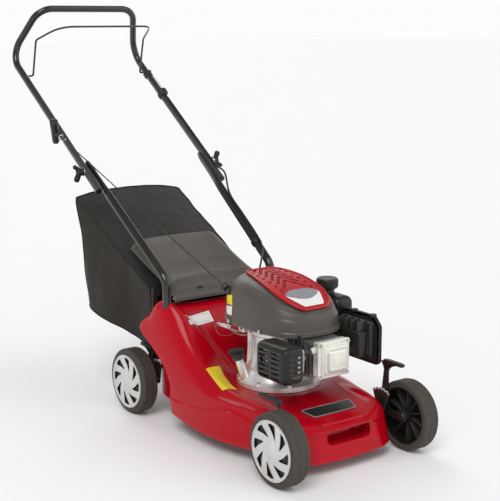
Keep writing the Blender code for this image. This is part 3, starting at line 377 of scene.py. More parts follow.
def smooth_route(points, count):
    """A smooth curve through the given points (Catmull-Rom), read at even steps."""
    points = [Vector(p) for p in points]
    padded = [2 * points[0] - points[1], *points, 2 * points[-1] - points[-2]]
    route = []
    for i in range(count + 1):
        place_on = i / count * (len(points) - 1)
        k = min(int(place_on), len(points) - 2)
        t = place_on - k
        p0, p1, p2, p3 = padded[k:k + 4]
        route.append(0.5 * (2 * p1 + (p2 - p0) * t + (2 * p0 - 5 * p1 + 4 * p2 - p3) * t ** 2
            + (3 * p1 - p0 - 3 * p2 + p3) * t ** 3))
    return route


def tube(route, radius, look, resolution=4, closed=False, radii=None):
    curve = bpy.data.curves.new("tube", "CURVE")
    curve.dimensions = "3D"
    curve.bevel_depth = radius
    curve.bevel_resolution = resolution
    curve.use_fill_caps = True
    spline = curve.splines.new("POLY")
    spline.points.add(len(route) - 1)
    for i, (point, where) in enumerate(zip(spline.points, route)):
        point.co = (*where, 1.0)
        point.radius = radii[i] if radii else 1.0
    spline.use_cyclic_u = closed
    return place(bpy.data.objects.new("tube", curve), look)


def plate(outlines, thickness, look, at=(0, 0, 0), turn=(0, 0, 0), round_by=0.0004):
    """A flat piece: the first outline is its edge, and the others are holes in it."""
    curve = bpy.data.curves.new("plate", "CURVE")
    curve.dimensions = "2D"
    curve.fill_mode = "BOTH"
    curve.extrude = thickness / 2 - round_by
    curve.bevel_depth = round_by
    curve.bevel_resolution = 1
    curve.offset = -round_by
    for outline in outlines:
        spline = curve.splines.new("POLY")
        spline.points.add(len(outline) - 1)
        for point, (u, v) in zip(spline.points, outline):
            point.co = (u, v, 0.0, 1.0)
        spline.use_cyclic_u = True
    return place(bpy.data.objects.new("plate", curve), look, at, turn)


def loft(rows, look, close_rows=False, cap=False):
    """A surface of quads over rows of points of equal length."""
    bm = bmesh.new()
    verts = [[bm.verts.new(p) for p in row] for row in rows]
    for row, below in zip(verts, verts[1:]):
        wrap = [(row[-1], row[0], below[0], below[-1])] if close_rows else []
        for quad in [*zip(row, row[1:], below[1:], below), *wrap]:
            bm.faces.new(quad)
    if cap:
        bm.faces.new(verts[0])
        bm.faces.new(list(reversed(verts[-1])))
    return from_bmesh("loft", bm, look)


def shelled(obj, thickness, offset=-1.0):
    shell = obj.modifiers.new("shell", "SOLIDIFY")
    shell.thickness = thickness
    shell.offset = offset
    return obj


def subdivided(obj, levels):
    step = obj.modifiers.new("subdivide", "SUBSURF")
    step.levels = step.render_levels = levels
    return obj


def combined(obj, operation, *tools):
    for tool in tools:
        step = obj.modifiers.new(operation.lower(), "BOOLEAN")
        step.operation = operation
        step.object = tool
        tool.hide_render = True
    return obj


def cut(obj, *tools):
    return combined(obj, "DIFFERENCE", *tools)


def finish(name, parts, body, replaced=(), angle=38):
    """Makes one piece of the shapes given, puts it in the frame and on its body."""
    bpy.context.view_layer.update()
    graph = bpy.context.evaluated_depsgraph_get()
    bm, looks, spent = bmesh.new(), [], set()
    for part in parts:
        mesh = bpy.data.meshes.new_from_object(part.evaluated_get(graph))
        mesh.transform(Matrix.Translation(ORIGIN) @ part.matrix_world)
        own = list(mesh.materials)
        for look in own:
            if look not in looks and look is not None:
                looks.append(look)
        first = len(bm.faces)
        bm.from_mesh(mesh)
        bm.faces.ensure_lookup_table()
        for face in bm.faces[first:]:
            look = own[min(face.material_index, len(own) - 1)] if own else None
            face.material_index = looks.index(look) if look in looks else 0
        bpy.data.meshes.remove(mesh)
        spent |= {part, *(m.object for m in part.modifiers if m.type == "BOOLEAN")}
    bmesh.ops.remove_doubles(bm, verts=bm.verts, dist=0.000002)
    mesh = bpy.data.meshes.new(name)
    bm.to_mesh(mesh)
    bm.free()
    for look in looks:
        mesh.materials.append(look)
    mesh.shade_smooth()
    mesh.set_sharp_from_angle(angle=radians(angle))
    for old in spent:
        bpy.data.objects.remove(old, do_unlink=True)
    piece = linked(bpy.data.objects.new(name, mesh))
    if body:
        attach(piece, body)
    if replaced:
        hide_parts(*replaced)
    return piece


def circle(radius, count):
    angles = [tau * i / count for i in range(count)]
    return [(radius * cos(a), radius * sin(a)) for a in angles]


def arc(radius, start, end, count, centre=(0, 0)):
    angles = [radians(start + (end - start) * i / count) for i in range(count + 1)]
    return [(centre[0] + radius * cos(a), centre[1] + radius * sin(a)) for a in angles]


def mix(a, b, t):
    return Vector(a) * (1 - t) + Vector(b) * t


def mirrored(point):
    return Vector((-point[0], point[1], point[2]))


def band(inner, edge, outer, half):
    """The section of a band round a tube, its outer corners cut off."""
    low = half - 0.0015
    return ((edge, half), (outer, low), (outer, -low), (edge, -half), (inner, -half), (inner, half))


def web(middle, out, profile, half):
    """An upright wall standing out from a casing: (radius, height) points, and half its width."""
    aside = Vector((-out.y, out.x, 0))
    return loft([[middle + out * r + Vector((0, 0, z)) + aside * side for r, z in profile]
        for side in (-half, half)], CAST, close_rows=True, cap=True)


def bolt(at, along, radius, height, look=None):
    """A hexagon head on its washer."""
    at, along = Vector(at), Vector(along).normalized()
    return [bar(at, at + along * height * 0.25, radius * 1.35, look or ZINC, 24),
        bar(at + along * height * 0.25, at + along * height, radius, look or ZINC, 6,
        round_by=radius * 0.12)]


# ---------------------------------------------------------------- deck

# The left half of the shell, row by row from the hem up. Each runs from the middle of the nose,
# round the side, to the middle of the rear.
DECK_HEM = ((0, -0.025, 0.03), (0.05, -0.0236, 0.03), (0.092, -0.02, 0.03), (0.147, 0.002, 0.03),
    (0.148, 0.05, 0.03), (0.152, 0.105, 0.032), (0.176, 0.16, 0.034), (0.196, 0.24, 0.035),
    (0.199, 0.335, 0.037), (0.192, 0.425, 0.045), (0.15, 0.44, 0.048), (0.148, 0.56, 0.055),
    (0.11, 0.572, 0.055), (0, 0.572, 0.055))
DECK_CREASE = ((0, -0.018, 0.058), (0.05, -0.0168, 0.058), (0.092, -0.013, 0.058),
    (0.144, 0.008, 0.06), (0.148, 0.05, 0.06), (0.152, 0.108, 0.075), (0.172, 0.165, 0.112),
    (0.193, 0.245, 0.098), (0.198, 0.338, 0.082), (0.194, 0.432, 0.078), (0.15, 0.45, 0.172),
    (0.15, 0.56, 0.2), (0.11, 0.572, 0.13), (0, 0.572, 0.13))
DECK_WAIST = ((0, -0.01, 0.085), (0.05, -0.0088, 0.085), (0.092, -0.005, 0.085),
    (0.138, 0.014, 0.088), (0.146, 0.052, 0.09), (0.149, 0.112, 0.11), (0.166, 0.17, 0.116),
    (0.18, 0.25, 0.115), (0.186, 0.342, 0.115), (0.191, 0.436, 0.138), (0.191, 0.488, 0.178),
    (0.192, 0.572, 0.222), (0.112, 0.568, 0.21), (0, 0.568, 0.21))
DECK_SHOULDER = ((0, -0.002, 0.107), (0.05, -0.0008, 0.107), (0.09, 0.003, 0.107),
    (0.13, 0.022, 0.11), (0.14, 0.055, 0.118), (0.144, 0.118, 0.125), (0.156, 0.178, 0.123),
    (0.168, 0.254, 0.125), (0.176, 0.345, 0.15), (0.185, 0.438, 0.194), (0.188, 0.488, 0.254),
    (0.19, 0.562, 0.256), (0.115, 0.553, 0.27), (0, 0.553, 0.275))
DECK_RIM = ((0, 0.03, 0.114), (0.055, 0.03, 0.114), (0.095, 0.034, 0.115), (0.12, 0.045, 0.118),
    (0.128, 0.062, 0.13), (0.132, 0.125, 0.134), (0.142, 0.185, 0.136), (0.15, 0.258, 0.14),
    (0.155, 0.35, 0.176), (0.162, 0.44, 0.25), (0.166, 0.482, 0.318), (0.175, 0.53, 0.318),
    (0.12, 0.5, 0.298), (0, 0.5, 0.298))
# From the crease to the ledge over the skirt, and from the waist to the brow over the pocket.
LEDGE_STEPS = (*[(0, 0.002, 0.006)] * 5, (-0.001, 0, 0.004), (-0.005, 0, 0.003),
    (-0.0065, 0, 0.003), (-0.0065, 0, 0.003), (-0.004, 0, 0.006), *[(0, 0, 0.006)] * 4)
BROW_STEPS = ((0, -0.007, 0.014), (0, -0.007, 0.014), (0, -0.003, 0.012), *[(-0.001, 0, 0.01)] * 8,
    (0, 0.001, 0.01), (0, 0, 0.02), (0, 0, 0.02))
# How sharp the edges along each line of (row, station) points are. The first line that fits counts.
DECK_CREASES = (
    (0.9, {(0, 9), (1, 9), (2, 9), (3, 9), (3, 10), (3, 11)}),
    (0.8, {(1, station) for station in range(5, 10)}),
    (0.6, {(2, station) for station in range(6, 10)}),
    (0.95, {(row, 2) for row in range(6)}),
    (0.6, {(3, 11), (4, 11), (5, 11)}),
    (0.7, {(4, 0), (4, 1), (4, 2)}),
)
# Where each station meets the engine's seat, in degrees from the left.
SEAT_ANGLES = (-90, -72, -54, -40, -28, -14, 0, 16, 34, 50, 60, 68, 76, 90)


def seat_ring(radius):
    return [(radius * cos(radians(a)) if abs(a) < 90 else 0.0, CRANK_Y + radius * sin(radians(a)),
        SEAT_Z) for a in SEAT_ANGLES]


def eased(a, b, t):
    return Vector((*mix(a, b, t).xy, a[2] + (b[2] - a[2]) * t ** 1.5))


def build_deck():
    """The moulded shell with its pocket, discharge opening, sockets and tapped holes."""
    seat = seat_ring(0.118)
    ledge = [Vector(p) + Vector(step) for p, step in zip(DECK_CREASE, LEDGE_STEPS)]
    brow = [Vector(p) + Vector(step) for p, step in zip(DECK_WAIST, BROW_STEPS)]
    rows = (DECK_HEM, DECK_CREASE, ledge, DECK_WAIST, brow, DECK_SHOULDER, DECK_RIM,
        [eased(a, b, 0.22) for a, b in zip(DECK_RIM, seat)], [eased(a, b, 0.65)
        for a, b in zip(DECK_RIM, seat)], seat, seat_ring(0.105), seat_ring(0.0525),
        seat_ring(0.035))
    deck = loft(rows, RED)
    stations = len(DECK_HEM)
    crease = deck.data.attributes.new("crease_edge", "FLOAT", "EDGE")
    for edge in deck.data.edges:
        ends = {divmod(v, stations) for v in edge.vertices}
        crease.data[edge.index].value = next((v for v, line in DECK_CREASES if ends <= line), 0.0)
    mirror = deck.modifiers.new("mirror", "MIRROR")
    mirror.use_clip = True
    mirror.merge_threshold = 0.0001
    subdivided(deck, 3)
    shelled(deck, DECK_WALL)
    combined(deck, "UNION", box((-0.072, 0.0, 0.06), (0.072, 0.036, 0.1), RED, 0),
        box((-0.07, -0.0125, 0.0575), (0.07, 0.034, 0.067), RED, 0))
    cut(deck, box((-0.063, -0.04, 0.0635), (0.063, 0.03, 0.095), RED, 0.013, 6),
        box((-0.105, 0.52, 0.085), (0.105, 0.6, 0.255), RED, 0.015, 4))
    for _, sign in SIDES:
        x = sign * 0.16
        cut(deck, bar((x, 0.489, 0.222), (x, 0.489, 0.35), LOWER_TUBE_R + 0.0006, RED, 48),
            bar((x, 0.505, 0.29), (sign * 0.22, 0.505, 0.29), 0.0026, RED, 20))
    lip = tube(smooth_route([(-0.068, 0.006, 0.1062), (-0.034, 0.002, 0.1066),
        (0.0, 0.0012, 0.1066), (0.034, 0.002, 0.1066), (0.068, 0.006, 0.1062)], 48), 0.0038, RED, 6)
    return finish("deck_shell", [deck, lip], "chassis", ["deck"], 32)


def bvh(surface):
    return BVHTree.FromPolygons([v.co for v in surface.data.vertices], [tuple(p.vertices)
        for p in surface.data.polygons])


def film(name, corners, look, surface, frame_look=None, lift=0.0006, count=10):
    """A thin printed film: a grid of points between four corners, laid onto a surface."""
    a, b, c, d = (Vector(p) + ORIGIN for p in corners)
    tree = bvh(surface)
    facing = (b - a).cross(d - a).normalized()

    def laid(u, v, above):
        at = mix(mix(a, b, u), mix(d, c, u), v)
        # A ray that misses the skin, or drops through a hole in it, takes the nearest point.
        spot = tree.ray_cast(at + facing * 0.03, -facing)[0]
        if spot is None or (spot - at).length > 0.01:
            spot = tree.find_nearest(at + facing * 0.003)[0]
        return spot + facing * above - ORIGIN

    parts = [shelled(loft([[laid(i / count, j / count, lift) for i in range(count + 1)]
        for j in range(count + 1)], look), 0.0003, 0.0)]
    if frame_look:
        loop = rounded_outline([(0.08, 0.14), (0.92, 0.14), (0.92, 0.86), (0.08, 0.86)], 0.05)
        parts.append(tube([laid(u, v, lift + 0.0002) for u, v in loop], 0.0003, frame_look, 1,
            closed=True))
    finish(name, parts, "chassis")


def build_labels(deck):
    film("rating_label", ((-0.134, 0.432, 0.25), (-0.0528, 0.4454, 0.2473), (-0.0545, 0.4664,
        0.2696), (-0.136, 0.454, 0.2705)), WHITE, deck, PRINT)
    film("side_label", ((-0.1556, 0.2588, 0.1353), (-0.122, 0.2478, 0.1368), (-0.1007, 0.3499,
        0.1616), (-0.1516, 0.3325, 0.1709)), YELLOW, deck, PRINT)


def build_badge():
    outline = rounded_outline([(-0.072, -0.009), (-0.061, -0.048), (0.061, -0.048),
        (0.072, -0.009)], 0.005)
    inner = [(u * 0.965, -0.0285 + (v + 0.0285) * 0.9) for u, v in outline]
    turn = (radians(10.8), 0, 0)
    parts = [plate([outline, inner], 0.0016, PRINT, (0, 0.083, 0.1252), turn, 0.0003),
        plate([inner], 0.0012, BLACK, (0, 0.083, 0.1251), turn, 0.0003)]
    finish("nose_badge", parts, "chassis", ["front_badge"])


# ---------------------------------------------------------------- wheels and height levers

# Name, side, the axle's y, which way the lever's pivot lies from it, and the grip seen from the
# pivot: its height, and the y of its near and far end.
WHEELS = (
    ("front_right", -1, 0.0, 1, (0.077, -0.016, 0.061)),
    ("front_left", 1, 0.0, 1, (0.112, 0.0, -0.062)),
    ("rear_right", -1, REAR_AXLE_Y, -1, (0.078, 0.012, 0.058)),
    ("rear_left", 1, REAR_AXLE_Y, -1, (0.078, 0.012, 0.058)),
)
RIM_R = 0.0677


def build_tyre(name, at, turn):
    """A solid tyre with rounded shoulders and two staggered rows of shallow tread pockets."""
    steps, edge = 144, 0.0003
    pockets = ((0.0085, 0.0185, 0), (0.0235, 0.0335, 4))
    across = [(0.0683, 0.0), (0.07, -0.0006), (0.0735, -0.0002), (0.0775, 0.0), (0.08, 0.0012),
        (0.0816, 0.0032), (0.0825, 0.0062)]
    tread = []
    for low, high, _ in pockets:
        tread += [low - edge, low + edge, high - edge, high + edge]
    outer = [*across, *[(WHEEL_R, t) for t in tread], *[(r, WHEEL_W - t)
        for r, t in reversed(across)]]
    rows = []
    for i in range(steps):
        a = tau * i / steps
        row = []
        for r, t in outer:
            for low, high, phase in pockets:
                if low < t < high and (i + phase) % 8 < 4:
                    r -= 0.0011
            row.append((r * cos(a), r * sin(a), -t))
        rows.append(row)
    tyre = loft([*rows, rows[0]], RUBBER, close_rows=True)
    tyre.location, tyre.rotation_euler = at, turn
    finish(f"{name}_tyre_rubber", [tyre], f"wheel_{name}", [f"{name}_tyre"], 30)


def build_rim(name, at, turn):
    rim = lathe(((RIM_R, 0), (RIM_R, -0.038), (0.0662, -0.039), (0.0645, -0.038), (0.0635, -0.008),
        (0.018, -0.008), (0.015, -0.04), (0.0062, -0.04), (0.0062, -0.003), (0.064, -0.003),
        (0.0652, 0)), BLACK, at, turn, 96)
    parts = [rim]
    frame_turn = Matrix.Translation(at) @ rim.rotation_euler.to_matrix().to_4x4()
    for i in range(10):
        rib = box((0.016, -0.0012, -0.024), (0.064, 0.0012, -0.007), BLACK, 0.0004, 1)
        rib.matrix_world = (frame_turn @ Matrix.Rotation(tau * i / 10, 4, "Z")
            @ Matrix.Translation(rib.location))
        parts.append(rib)
    finish(f"{name}_rim_dish", parts, f"wheel_{name}", [f"{name}_rim"])


def build_cap(name, sign, axle_y, turn):
    """The silver disc with eight swept openings, a raised lip and a domed middle."""
    slots = []
    for i in range(8):
        lean0 = radians(45 * i)
        wedge = [(r * cos(lean0 + lean), r * sin(lean0 + lean)) for r, lean in ((0.0275, -0.58),
            (0.042, -0.36), (0.06, -0.22), (0.0612, 0.0), (0.06, 0.21), (0.042, -0.08))]
        slots.append(rounded_outline(wedge, 0.0016, 3))
    at = (sign * (WHEEL_FACE_X + 0.0014), axle_y, WHEEL_R)
    parts = [plate([circle(RIM_R, 96), *slots], 0.0022, SILVER, at, turn, 0.0006),
        lathe(((0.0677, 0.0014), (0.0677, 0.0002), (0.065, 0.0002), (0.065, 0.0018),
        (0.0662, 0.0024)), SILVER, at, turn, 96), lathe(((0.0, 0.0038), (0.008, 0.0036),
        (0.015, 0.0027), (0.019, 0.0011), (0.019, 0.0), (0.0, 0.0)), SILVER, at, turn, 64,
        ring=False)]
    finish(f"{name}_cap_disc", parts, f"wheel_{name}", [f"{name}_cap"])


def build_lever(name, sign, axle_y, pivot_side, grip_at):
    """The steel lever with its axle stub and the flared plastic grip on its end."""
    pivot = Vector((sign * LEVER_X, axle_y + pivot_side * PIVOT_REACH, PIVOT_Z))
    axle = Vector((-pivot_side * PIVOT_REACH, WHEEL_R - PIVOT_Z))
    rise, near, far = grip_at
    reach = copysign(1.0, far - near)
    foot = near + reach * 0.007
    if pivot_side > 0:
        outline = [(foot + 0.007, rise - 0.012), (foot - 0.007, rise - 0.012), (-0.013, 0.01),
            (-0.03, 0.002), *arc(0.011, 100, 260, 10, axle), (-0.03, -0.016), (0.002, -0.012),
            (0.012, -0.004), (0.012, 0.006)]
    else:
        outline = [(foot + 0.007, rise - 0.012), (foot - 0.007, rise - 0.012), (-0.012, 0.006),
            (-0.012, -0.004), (-0.002, -0.012), (0.03, -0.016), *arc(0.011, -80, 80, 10, axle),
            (0.03, 0.002), (0.016, 0.01)]
    blade = plate([rounded_outline(outline, 0.006), circle(0.0053, 24)], 0.004, PAINT, pivot,
        SIDE_VIEW, 0.0005)
    hub = pivot + Vector((0, axle.x, axle.y))
    stub = bar(hub, (sign * (WHEEL_FACE_X - 0.004), hub.y, hub.z), 0.0059, ZINC, 32,
        round_by=0.0006)
    # The grip flares from the lever's width to its cross bar.
    half_w = 0.006
    slim = name == "front_right"
    flare_h = 0.01 if slim else (0.022 if far < 0 else 0.013)
    neck, bar_z = rise - flare_h, rise + 0.001
    sections = []
    for t in (0.0, 0.25, 0.5, 0.75, 1.0):
        z = neck + (bar_z - neck) * t
        low = foot - reach * (0.0055 + (0.001 if slim else 0.01) * t ** 2)
        spread = (abs(far - near) - 0.0225) * t ** 2.2 * (0.3 if slim else 1)
        high = foot + reach * (0.0055 + spread)
        wide = half_w * (0.72 + 0.28 * t)
        sections.append([(pivot.x + x * wide, pivot.y + y, pivot.z + z) for x, y in ((-1, low),
            (1, low), (1, high), (-1, high))])
    flare = bevelled(loft(sections, BLACK, close_rows=True, cap=True), 0.0014, 3)
    top = box((pivot.x - half_w, pivot.y + min(near, far), pivot.z + rise - 0.002),
        (pivot.x + half_w, pivot.y + max(near, far), pivot.z + rise + 0.0065), BLACK, 0.003, 4)
    parts = [blade, stub, flare, top]
    for i in range(5):
        y = pivot.y + near + reach * (0.014 + i * (abs(far - near) - 0.028) / 4)
        parts.append(box((pivot.x - half_w - 0.0003, y - 0.0012, pivot.z + rise), (pivot.x + half_w
            + 0.0003, y + 0.0012, pivot.z + rise + 0.0069), BLACK, 0.0005, 2))
    finish(f"{name}_lever", parts, f"lever_{name}", [f"{name}_height_lever"])


def build_quadrant(name, sign, axle_y, pivot_side, grip_at):
    """The dark notched plate that a lever clicks into, with its bright toothed rim and pin."""
    at = Vector((sign * QUADRANT_X, axle_y + pivot_side * PIVOT_REACH, PIVOT_Z))
    middle = degrees(atan2(grip_at[0], grip_at[1]))
    back = arc(0.014, middle + 130, middle + 230, 8)
    teeth = []
    for i in range(5):
        start = middle - 35 + i * 14
        teeth += arc(0.05, start, start + 7, 3) + arc(0.0475, start + 7, start + 14, 3)
    body = plate([back + teeth], 0.0018, BLACK, at, SIDE_VIEW, 0.0004)
    inner = [(u * 0.93, v * 0.93) for u, v in reversed(teeth)]
    rim = plate([teeth + inner], 0.0026, SILVER, at, SIDE_VIEW, 0.0004)
    pin = bar(at, (sign * 0.1635, at.y, at.z), 0.0049, ZINC, 32, round_by=0.0006)
    finish(f"{name}_notched_plate", [body, rim, pin], "chassis", [f"{name}_quadrant"])


def build_wheels():
    for name, sign, axle_y, pivot_side, grip_at in WHEELS:
        build_quadrant(name, sign, axle_y, pivot_side, grip_at)
        at = (sign * WHEEL_FACE_X, axle_y, WHEEL_R)
        turn = OUTWARD[sign]
        build_tyre(name, at, turn)
        build_rim(name, at, turn)
        build_cap(name, sign, axle_y, turn)
        build_lever(name, sign, axle_y, pivot_side, grip_at)


# ---------------------------------------------------------------- engine

# Front, rear and half width, height at the front and at the rear, and how far the ring arches.
COWL_RINGS = ((0.0895, 0.3855, 0.109, 0.2835, 0.2835, 0.0), (0.09, 0.385, 0.1085, 0.3, 0.318, 0.1),
    (0.0925, 0.379, 0.105, 0.315, 0.35, 0.4), (0.096, 0.368, 0.096, 0.326, 0.371, 0.8),
    (0.1, 0.354, 0.084, 0.333, 0.383, 1.0), (0.104, 0.342, 0.068, 0.338, 0.389, 1.0))
ARCH = 0.066
GUIDE = Vector((-0.2165, 0.9129, 0.6772))
OUTLET = Vector((-0.09, 0.348, 0.364))
PULL = (GUIDE - OUTLET).normalized()
PULL_AXES = PULL.to_track_quat("Z", "Y").to_matrix()
# The rings at which the skirt steps in.
COWL_STEPS = (2, 9, 16)


def arched(y, front, rear, low, high, arch):
    t = (y - front) / (rear - front)
    return low + (high - low) * t + arch * ARCH * t * (1 - t)


def roof(y):
    front, rear, _, low, high, arch = COWL_RINGS[-1]
    return arched(y, front, rear, low, high, arch)


def superellipse(half_x, half_y, power, count):
    points = []
    for i in range(count):
        a = tau * (i + 0.5) / count
        c, s = cos(a), sin(a)
        points.append((half_x * copysign(abs(c) ** (2 / power), c),
            half_y * copysign(abs(s) ** (2 / power), s)))
    return points


def build_cowl():
    """The blower cover: a dome with a stepped skirt and an arched roof."""
    sides = 88
    numbers = smooth_route([ring[:3] for ring in COWL_RINGS], 25)
    heights = smooth_route([ring[3:] for ring in COWL_RINGS], 25)
    rows = []
    for i, ((front, rear, half_x), (low, high, arch)) in enumerate(zip(numbers, heights)):
        steps = sum(min(1.0, max(0.0, i - step)) for step in COWL_STEPS)
        half_y = (rear - front) / 2
        ring = []
        for x, y in superellipse(half_x, half_y, 2.6, sides):
            # The steps are deepest at the front.
            shrink = steps * (0.001 + 0.0022 * max(0.0, -y / half_y)) / hypot(x, y)
            ring.append((x * (1 - shrink), y * (1 - shrink) + (front + rear) / 2))
        rows.append([(x, y, arched(y, front, rear, low, high, max(arch, 0.0))) for x, y in ring])
    bm = bmesh.new()
    verts = [[bm.verts.new(p) for p in row] for row in rows]
    for row, above in zip(verts, verts[1:]):
        for i in range(sides):
            j = (i + 1) % sides
            bm.faces.new((row[i], row[j], above[j], above[i]))
    top, quarter = verts[-1], sides // 4
    left = [top[i % sides] for i in range(-quarter, quarter)]
    right = [top[(2 * quarter - 1 - i) % sides] for i in range(-quarter, quarter)]
    for i in range(len(left) - 1):
        bm.faces.new((left[i], left[i + 1], right[i + 1], right[i]))
    cowl = shelled(from_bmesh("cowl", bm, COWL), COWL_WALL)
    cut(cowl, bar(OUTLET - PULL * 0.04, OUTLET + PULL * 0.03, 0.0095, COWL, 24))
    bush = lathe(((0.0106, 0.001), (0.011, -0.001), (0.0092, -0.008), (0.006, -0.008),
        (0.004, -0.003), (0.006, 0.001)), BLACK, OUTLET - PULL * 0.004, aim(PULL), 40)
    parts = [cowl, bush]
    for sign in (-1, 1):
        ridge = [Vector((-sign * p.x, p.y, p.z)) for p in smooth_route([(-0.0868, 0.26, 0.371),
            (-0.0862, 0.2185, 0.3668), (-0.0838, 0.1795, 0.3566)], 30)]
        swell = [0.0004 + 0.0014 * sin(pi * i / (len(ridge) - 1)) ** 0.6 for i in range(len(ridge))]
        parts.append(tube(ridge, 1.0, COWL, 4, radii=swell))
    for x, y in ((-0.1045, 0.18), (-0.1045, 0.3), (0.1045, 0.18), (0.1045, 0.3)):
        out = copysign(1.0, x)
        parts += bolt((out * 0.1083, y, 0.289), (out, 0, 0), 0.0035, 0.0036)
    return finish("cowl_shell", parts, "chassis", ["engine_cowl"], 30)


# y and half width of the louvred plate, then how its slots lean and how far out they reach.
GRILLE_ROWS = ((0.107, 0.03), (0.116, 0.044), (0.135, 0.055), (0.165, 0.064), (0.2, 0.064),
    (0.24, 0.06), (0.28, 0.052), (0.31, 0.044), (0.33, 0.034))
SLOT_RAKE, SLOT_REACH = 1.25, 0.031


def build_grille():
    """The louvred plate: a raised rim, chevron slots with painted shade below, and a blank badge at
    its front.
    """
    lift = 0.003
    route = smooth_route([(y, w, 0) for y, w in GRILLE_ROWS], 48)
    shares = [-1 + i / 10 for i in range(21)]
    rows = [[(s * p.y, p.x, roof(p.x) + lift) for s in shares] for p in route]
    face = shelled(loft(rows, RED_SATIN), 0.0045, 0.0)
    # Under the slots lies a sheet in the darker red: painted shade where the slots hold only
    # shadow.
    slot_shade_bed = [[Vector((x * 0.94, y, z + 0.0003)) for x, y, z in row] for row in rows[2:-1]]
    floor = shelled(loft(slot_shade_bed, RED_SLOT_SHADE), 0.0006, 0.0)
    for i in range(6):
        apex = 0.342 - i * 0.023
        foot = apex - SLOT_REACH * SLOT_RAKE
        for sign in (-1, 1):
            slot = box((-0.003, -0.0038, -0.03), (SLOT_REACH * hypot(1, SLOT_RAKE), 0.0038, 0.03),
                RED_SLOT_SHADE, 0.003, 4)
            turn = Matrix.Rotation(atan2(-SLOT_RAKE, sign), 4, "Z")
            slot.matrix_world = (Matrix.Translation((0, apex, roof(apex))) @ turn
                @ Matrix.Translation(slot.location))
            end = Vector((sign * (SLOT_REACH + 0.0115), foot - 0.006, roof(foot)))
            cut(face, slot, bar(end - Vector((0, 0, 0.03)), end + Vector((0, 0, 0.03)), 0.0047,
                RED_SLOT_SHADE))
    edge = [Vector((p.y, p.x, roof(p.x) + lift + 0.0015)) for p in route]
    loop = [*edge, *[mirrored(p) for p in reversed(edge)]]
    rim = tube(loop, 0.003, RED_SATIN, 4, closed=True)
    finish("louvre_plate", [face, floor, rim], "chassis", ["cowl_grille"], 35)

    def front(x):
        return 0.115 + max(0.0, (abs(x) - 0.026) / 0.022) ** 1.3 * 0.043

    def split(x):
        return 0.139 + (x / 0.046) ** 2 * 0.02

    def rear(x):
        return 0.179 - max(0.0, (abs(x) - 0.018) / 0.028) ** 1.5 * 0.014

    badge = []
    for low, high, look in ((front, split, WHITE), (split, rear, BADGE)):
        patch = []
        for j in range(9):
            row = []
            for i in range(41):
                x = (-1 + i / 20) * 0.047
                y = low(x) + (max(high(x), low(x) + 0.0004) - low(x)) * j / 8
                row.append((x, y, roof(y) + lift + 0.0022))
            patch.append(row)
        badge.append(shelled(loft(patch, look), 0.0008, 0.0))
    finish("cowl_plaque", badge, "chassis")


def build_cowl_labels(cowl):
    film("cowl_label_upper", ((-0.0953, 0.323, 0.3247), (-0.1031, 0.2904, 0.3276), (-0.0959, 0.3004,
        0.3498), (-0.0879, 0.3333, 0.3423)), YELLOW, cowl)
    film("cowl_label_lower", ((-0.0972, 0.3225, 0.3008), (-0.1044, 0.2919, 0.3034), (-0.103, 0.2917,
        0.325), (-0.0944, 0.3263, 0.3203)), WHITE, cowl)


def build_sump():
    """The lower casing: flange with bolted ears, webs up its side, and the filler's neck."""
    foot, mouth = FILLER_FOOT, FILLER_MOUTH
    casing = lathe(((0.0775, 0.178), (0.079, 0.1765), (0.086, 0.162), (0.09, 0.156), (0.097, 0.151),
        (0.1, 0.1485), (0.1, FLANGE_Z + 0.0006), (0.0994, FLANGE_Z), (0.0125, FLANGE_Z),
        (0.0125, 0.178)), CAST, (0, CRANK_Y, 0), steps=128)
    neck = bar(foot, mouth, 0.01, CAST, 32, round_by=0.0008)
    parts = [casing, neck]
    along = (mouth - foot).normalized()
    cut(neck, bar(mix(foot, mouth, 0.6), mouth + along * 0.01, 0.0075, CAST, 24))
    for i in range(8):
        a = radians(22.5 + 45 * i)
        out = Vector((cos(a), sin(a), 0))
        middle = Vector((0, CRANK_Y, 0))
        ear = middle + out * 0.093
        parts.append(bar(ear + Vector((0, 0, FLANGE_Z)), ear + Vector((0, 0, 0.153)), 0.0065, CAST,
            24, round_by=0.0007))
        parts += bolt(ear + Vector((0, 0, 0.153)), (0, 0, 1), 0.0036, 0.0042)
        rib = web(middle, out, ((0.074, 0.15), (0.0945, 0.15), (0.08, 0.1765), (0.074, 0.1765)),
            0.0014)
        rib.matrix_world = (Matrix.Translation(middle) @ Matrix.Rotation(radians(22.5), 4, "Z")
            @ Matrix.Translation(-middle))
        parts.append(bevelled(rib, 0.0005, 2))
    finish("sump_casting", parts, "chassis", ["engine_sump"])


def build_cylinder():
    """The bright upper crankcase with its webs, and the finned barrel and head before it, painted
    dark as their shade.
    """
    middle = Vector((0, CRANK_Y, 0))
    casing = lathe(((0.072, 0.268), (0.0725, 0.26), (0.068, 0.256), (0.0655, 0.23), (0.068, 0.2),
        (0.074, 0.185), (0.0785, 0.18), (0.0785, 0.1785), (0.0125, 0.1785), (0.0125, 0.268)), CAST,
        middle, steps=128)
    parts = [casing]
    for i in range(9):
        a = radians(150 + 26 * i)
        out = Vector((cos(a), sin(a), 0))
        rib = web(middle, out, ((0.06, 0.18), (0.078, 0.18), (0.0718, 0.256), (0.06, 0.256)),
            0.0012)
        parts.append(bevelled(rib, 0.0004, 2))
    parts.append(bar((-0.056, 0.283, 0.18), (-0.056, 0.283, 0.265), 0.0085, CAST, 32,
        round_by=0.001))
    # The barrel and its fins are in the darkened alloy: painted shade from the cowl and guard
    # above.
    parts.append(box((-0.033, 0.054, 0.203), (0.033, 0.185, 0.2665), SHADED_ALLOY, 0.004, 4))
    for i in range(8):
        y = 0.0735 + i * 0.011
        wide = 0.046 if y < 0.12 else 0.05
        parts.append(box((-wide, y, 0.193), (wide, y + 0.0028, 0.2765), SHADED_ALLOY, 0.0012, 3))
    parts.append(box((-0.042, 0.0526, 0.199), (0.042, 0.0685, 0.28), CAST, 0.002, 4))
    finish("cylinder_casting", parts, "chassis", ["cylinder_block"], 34)


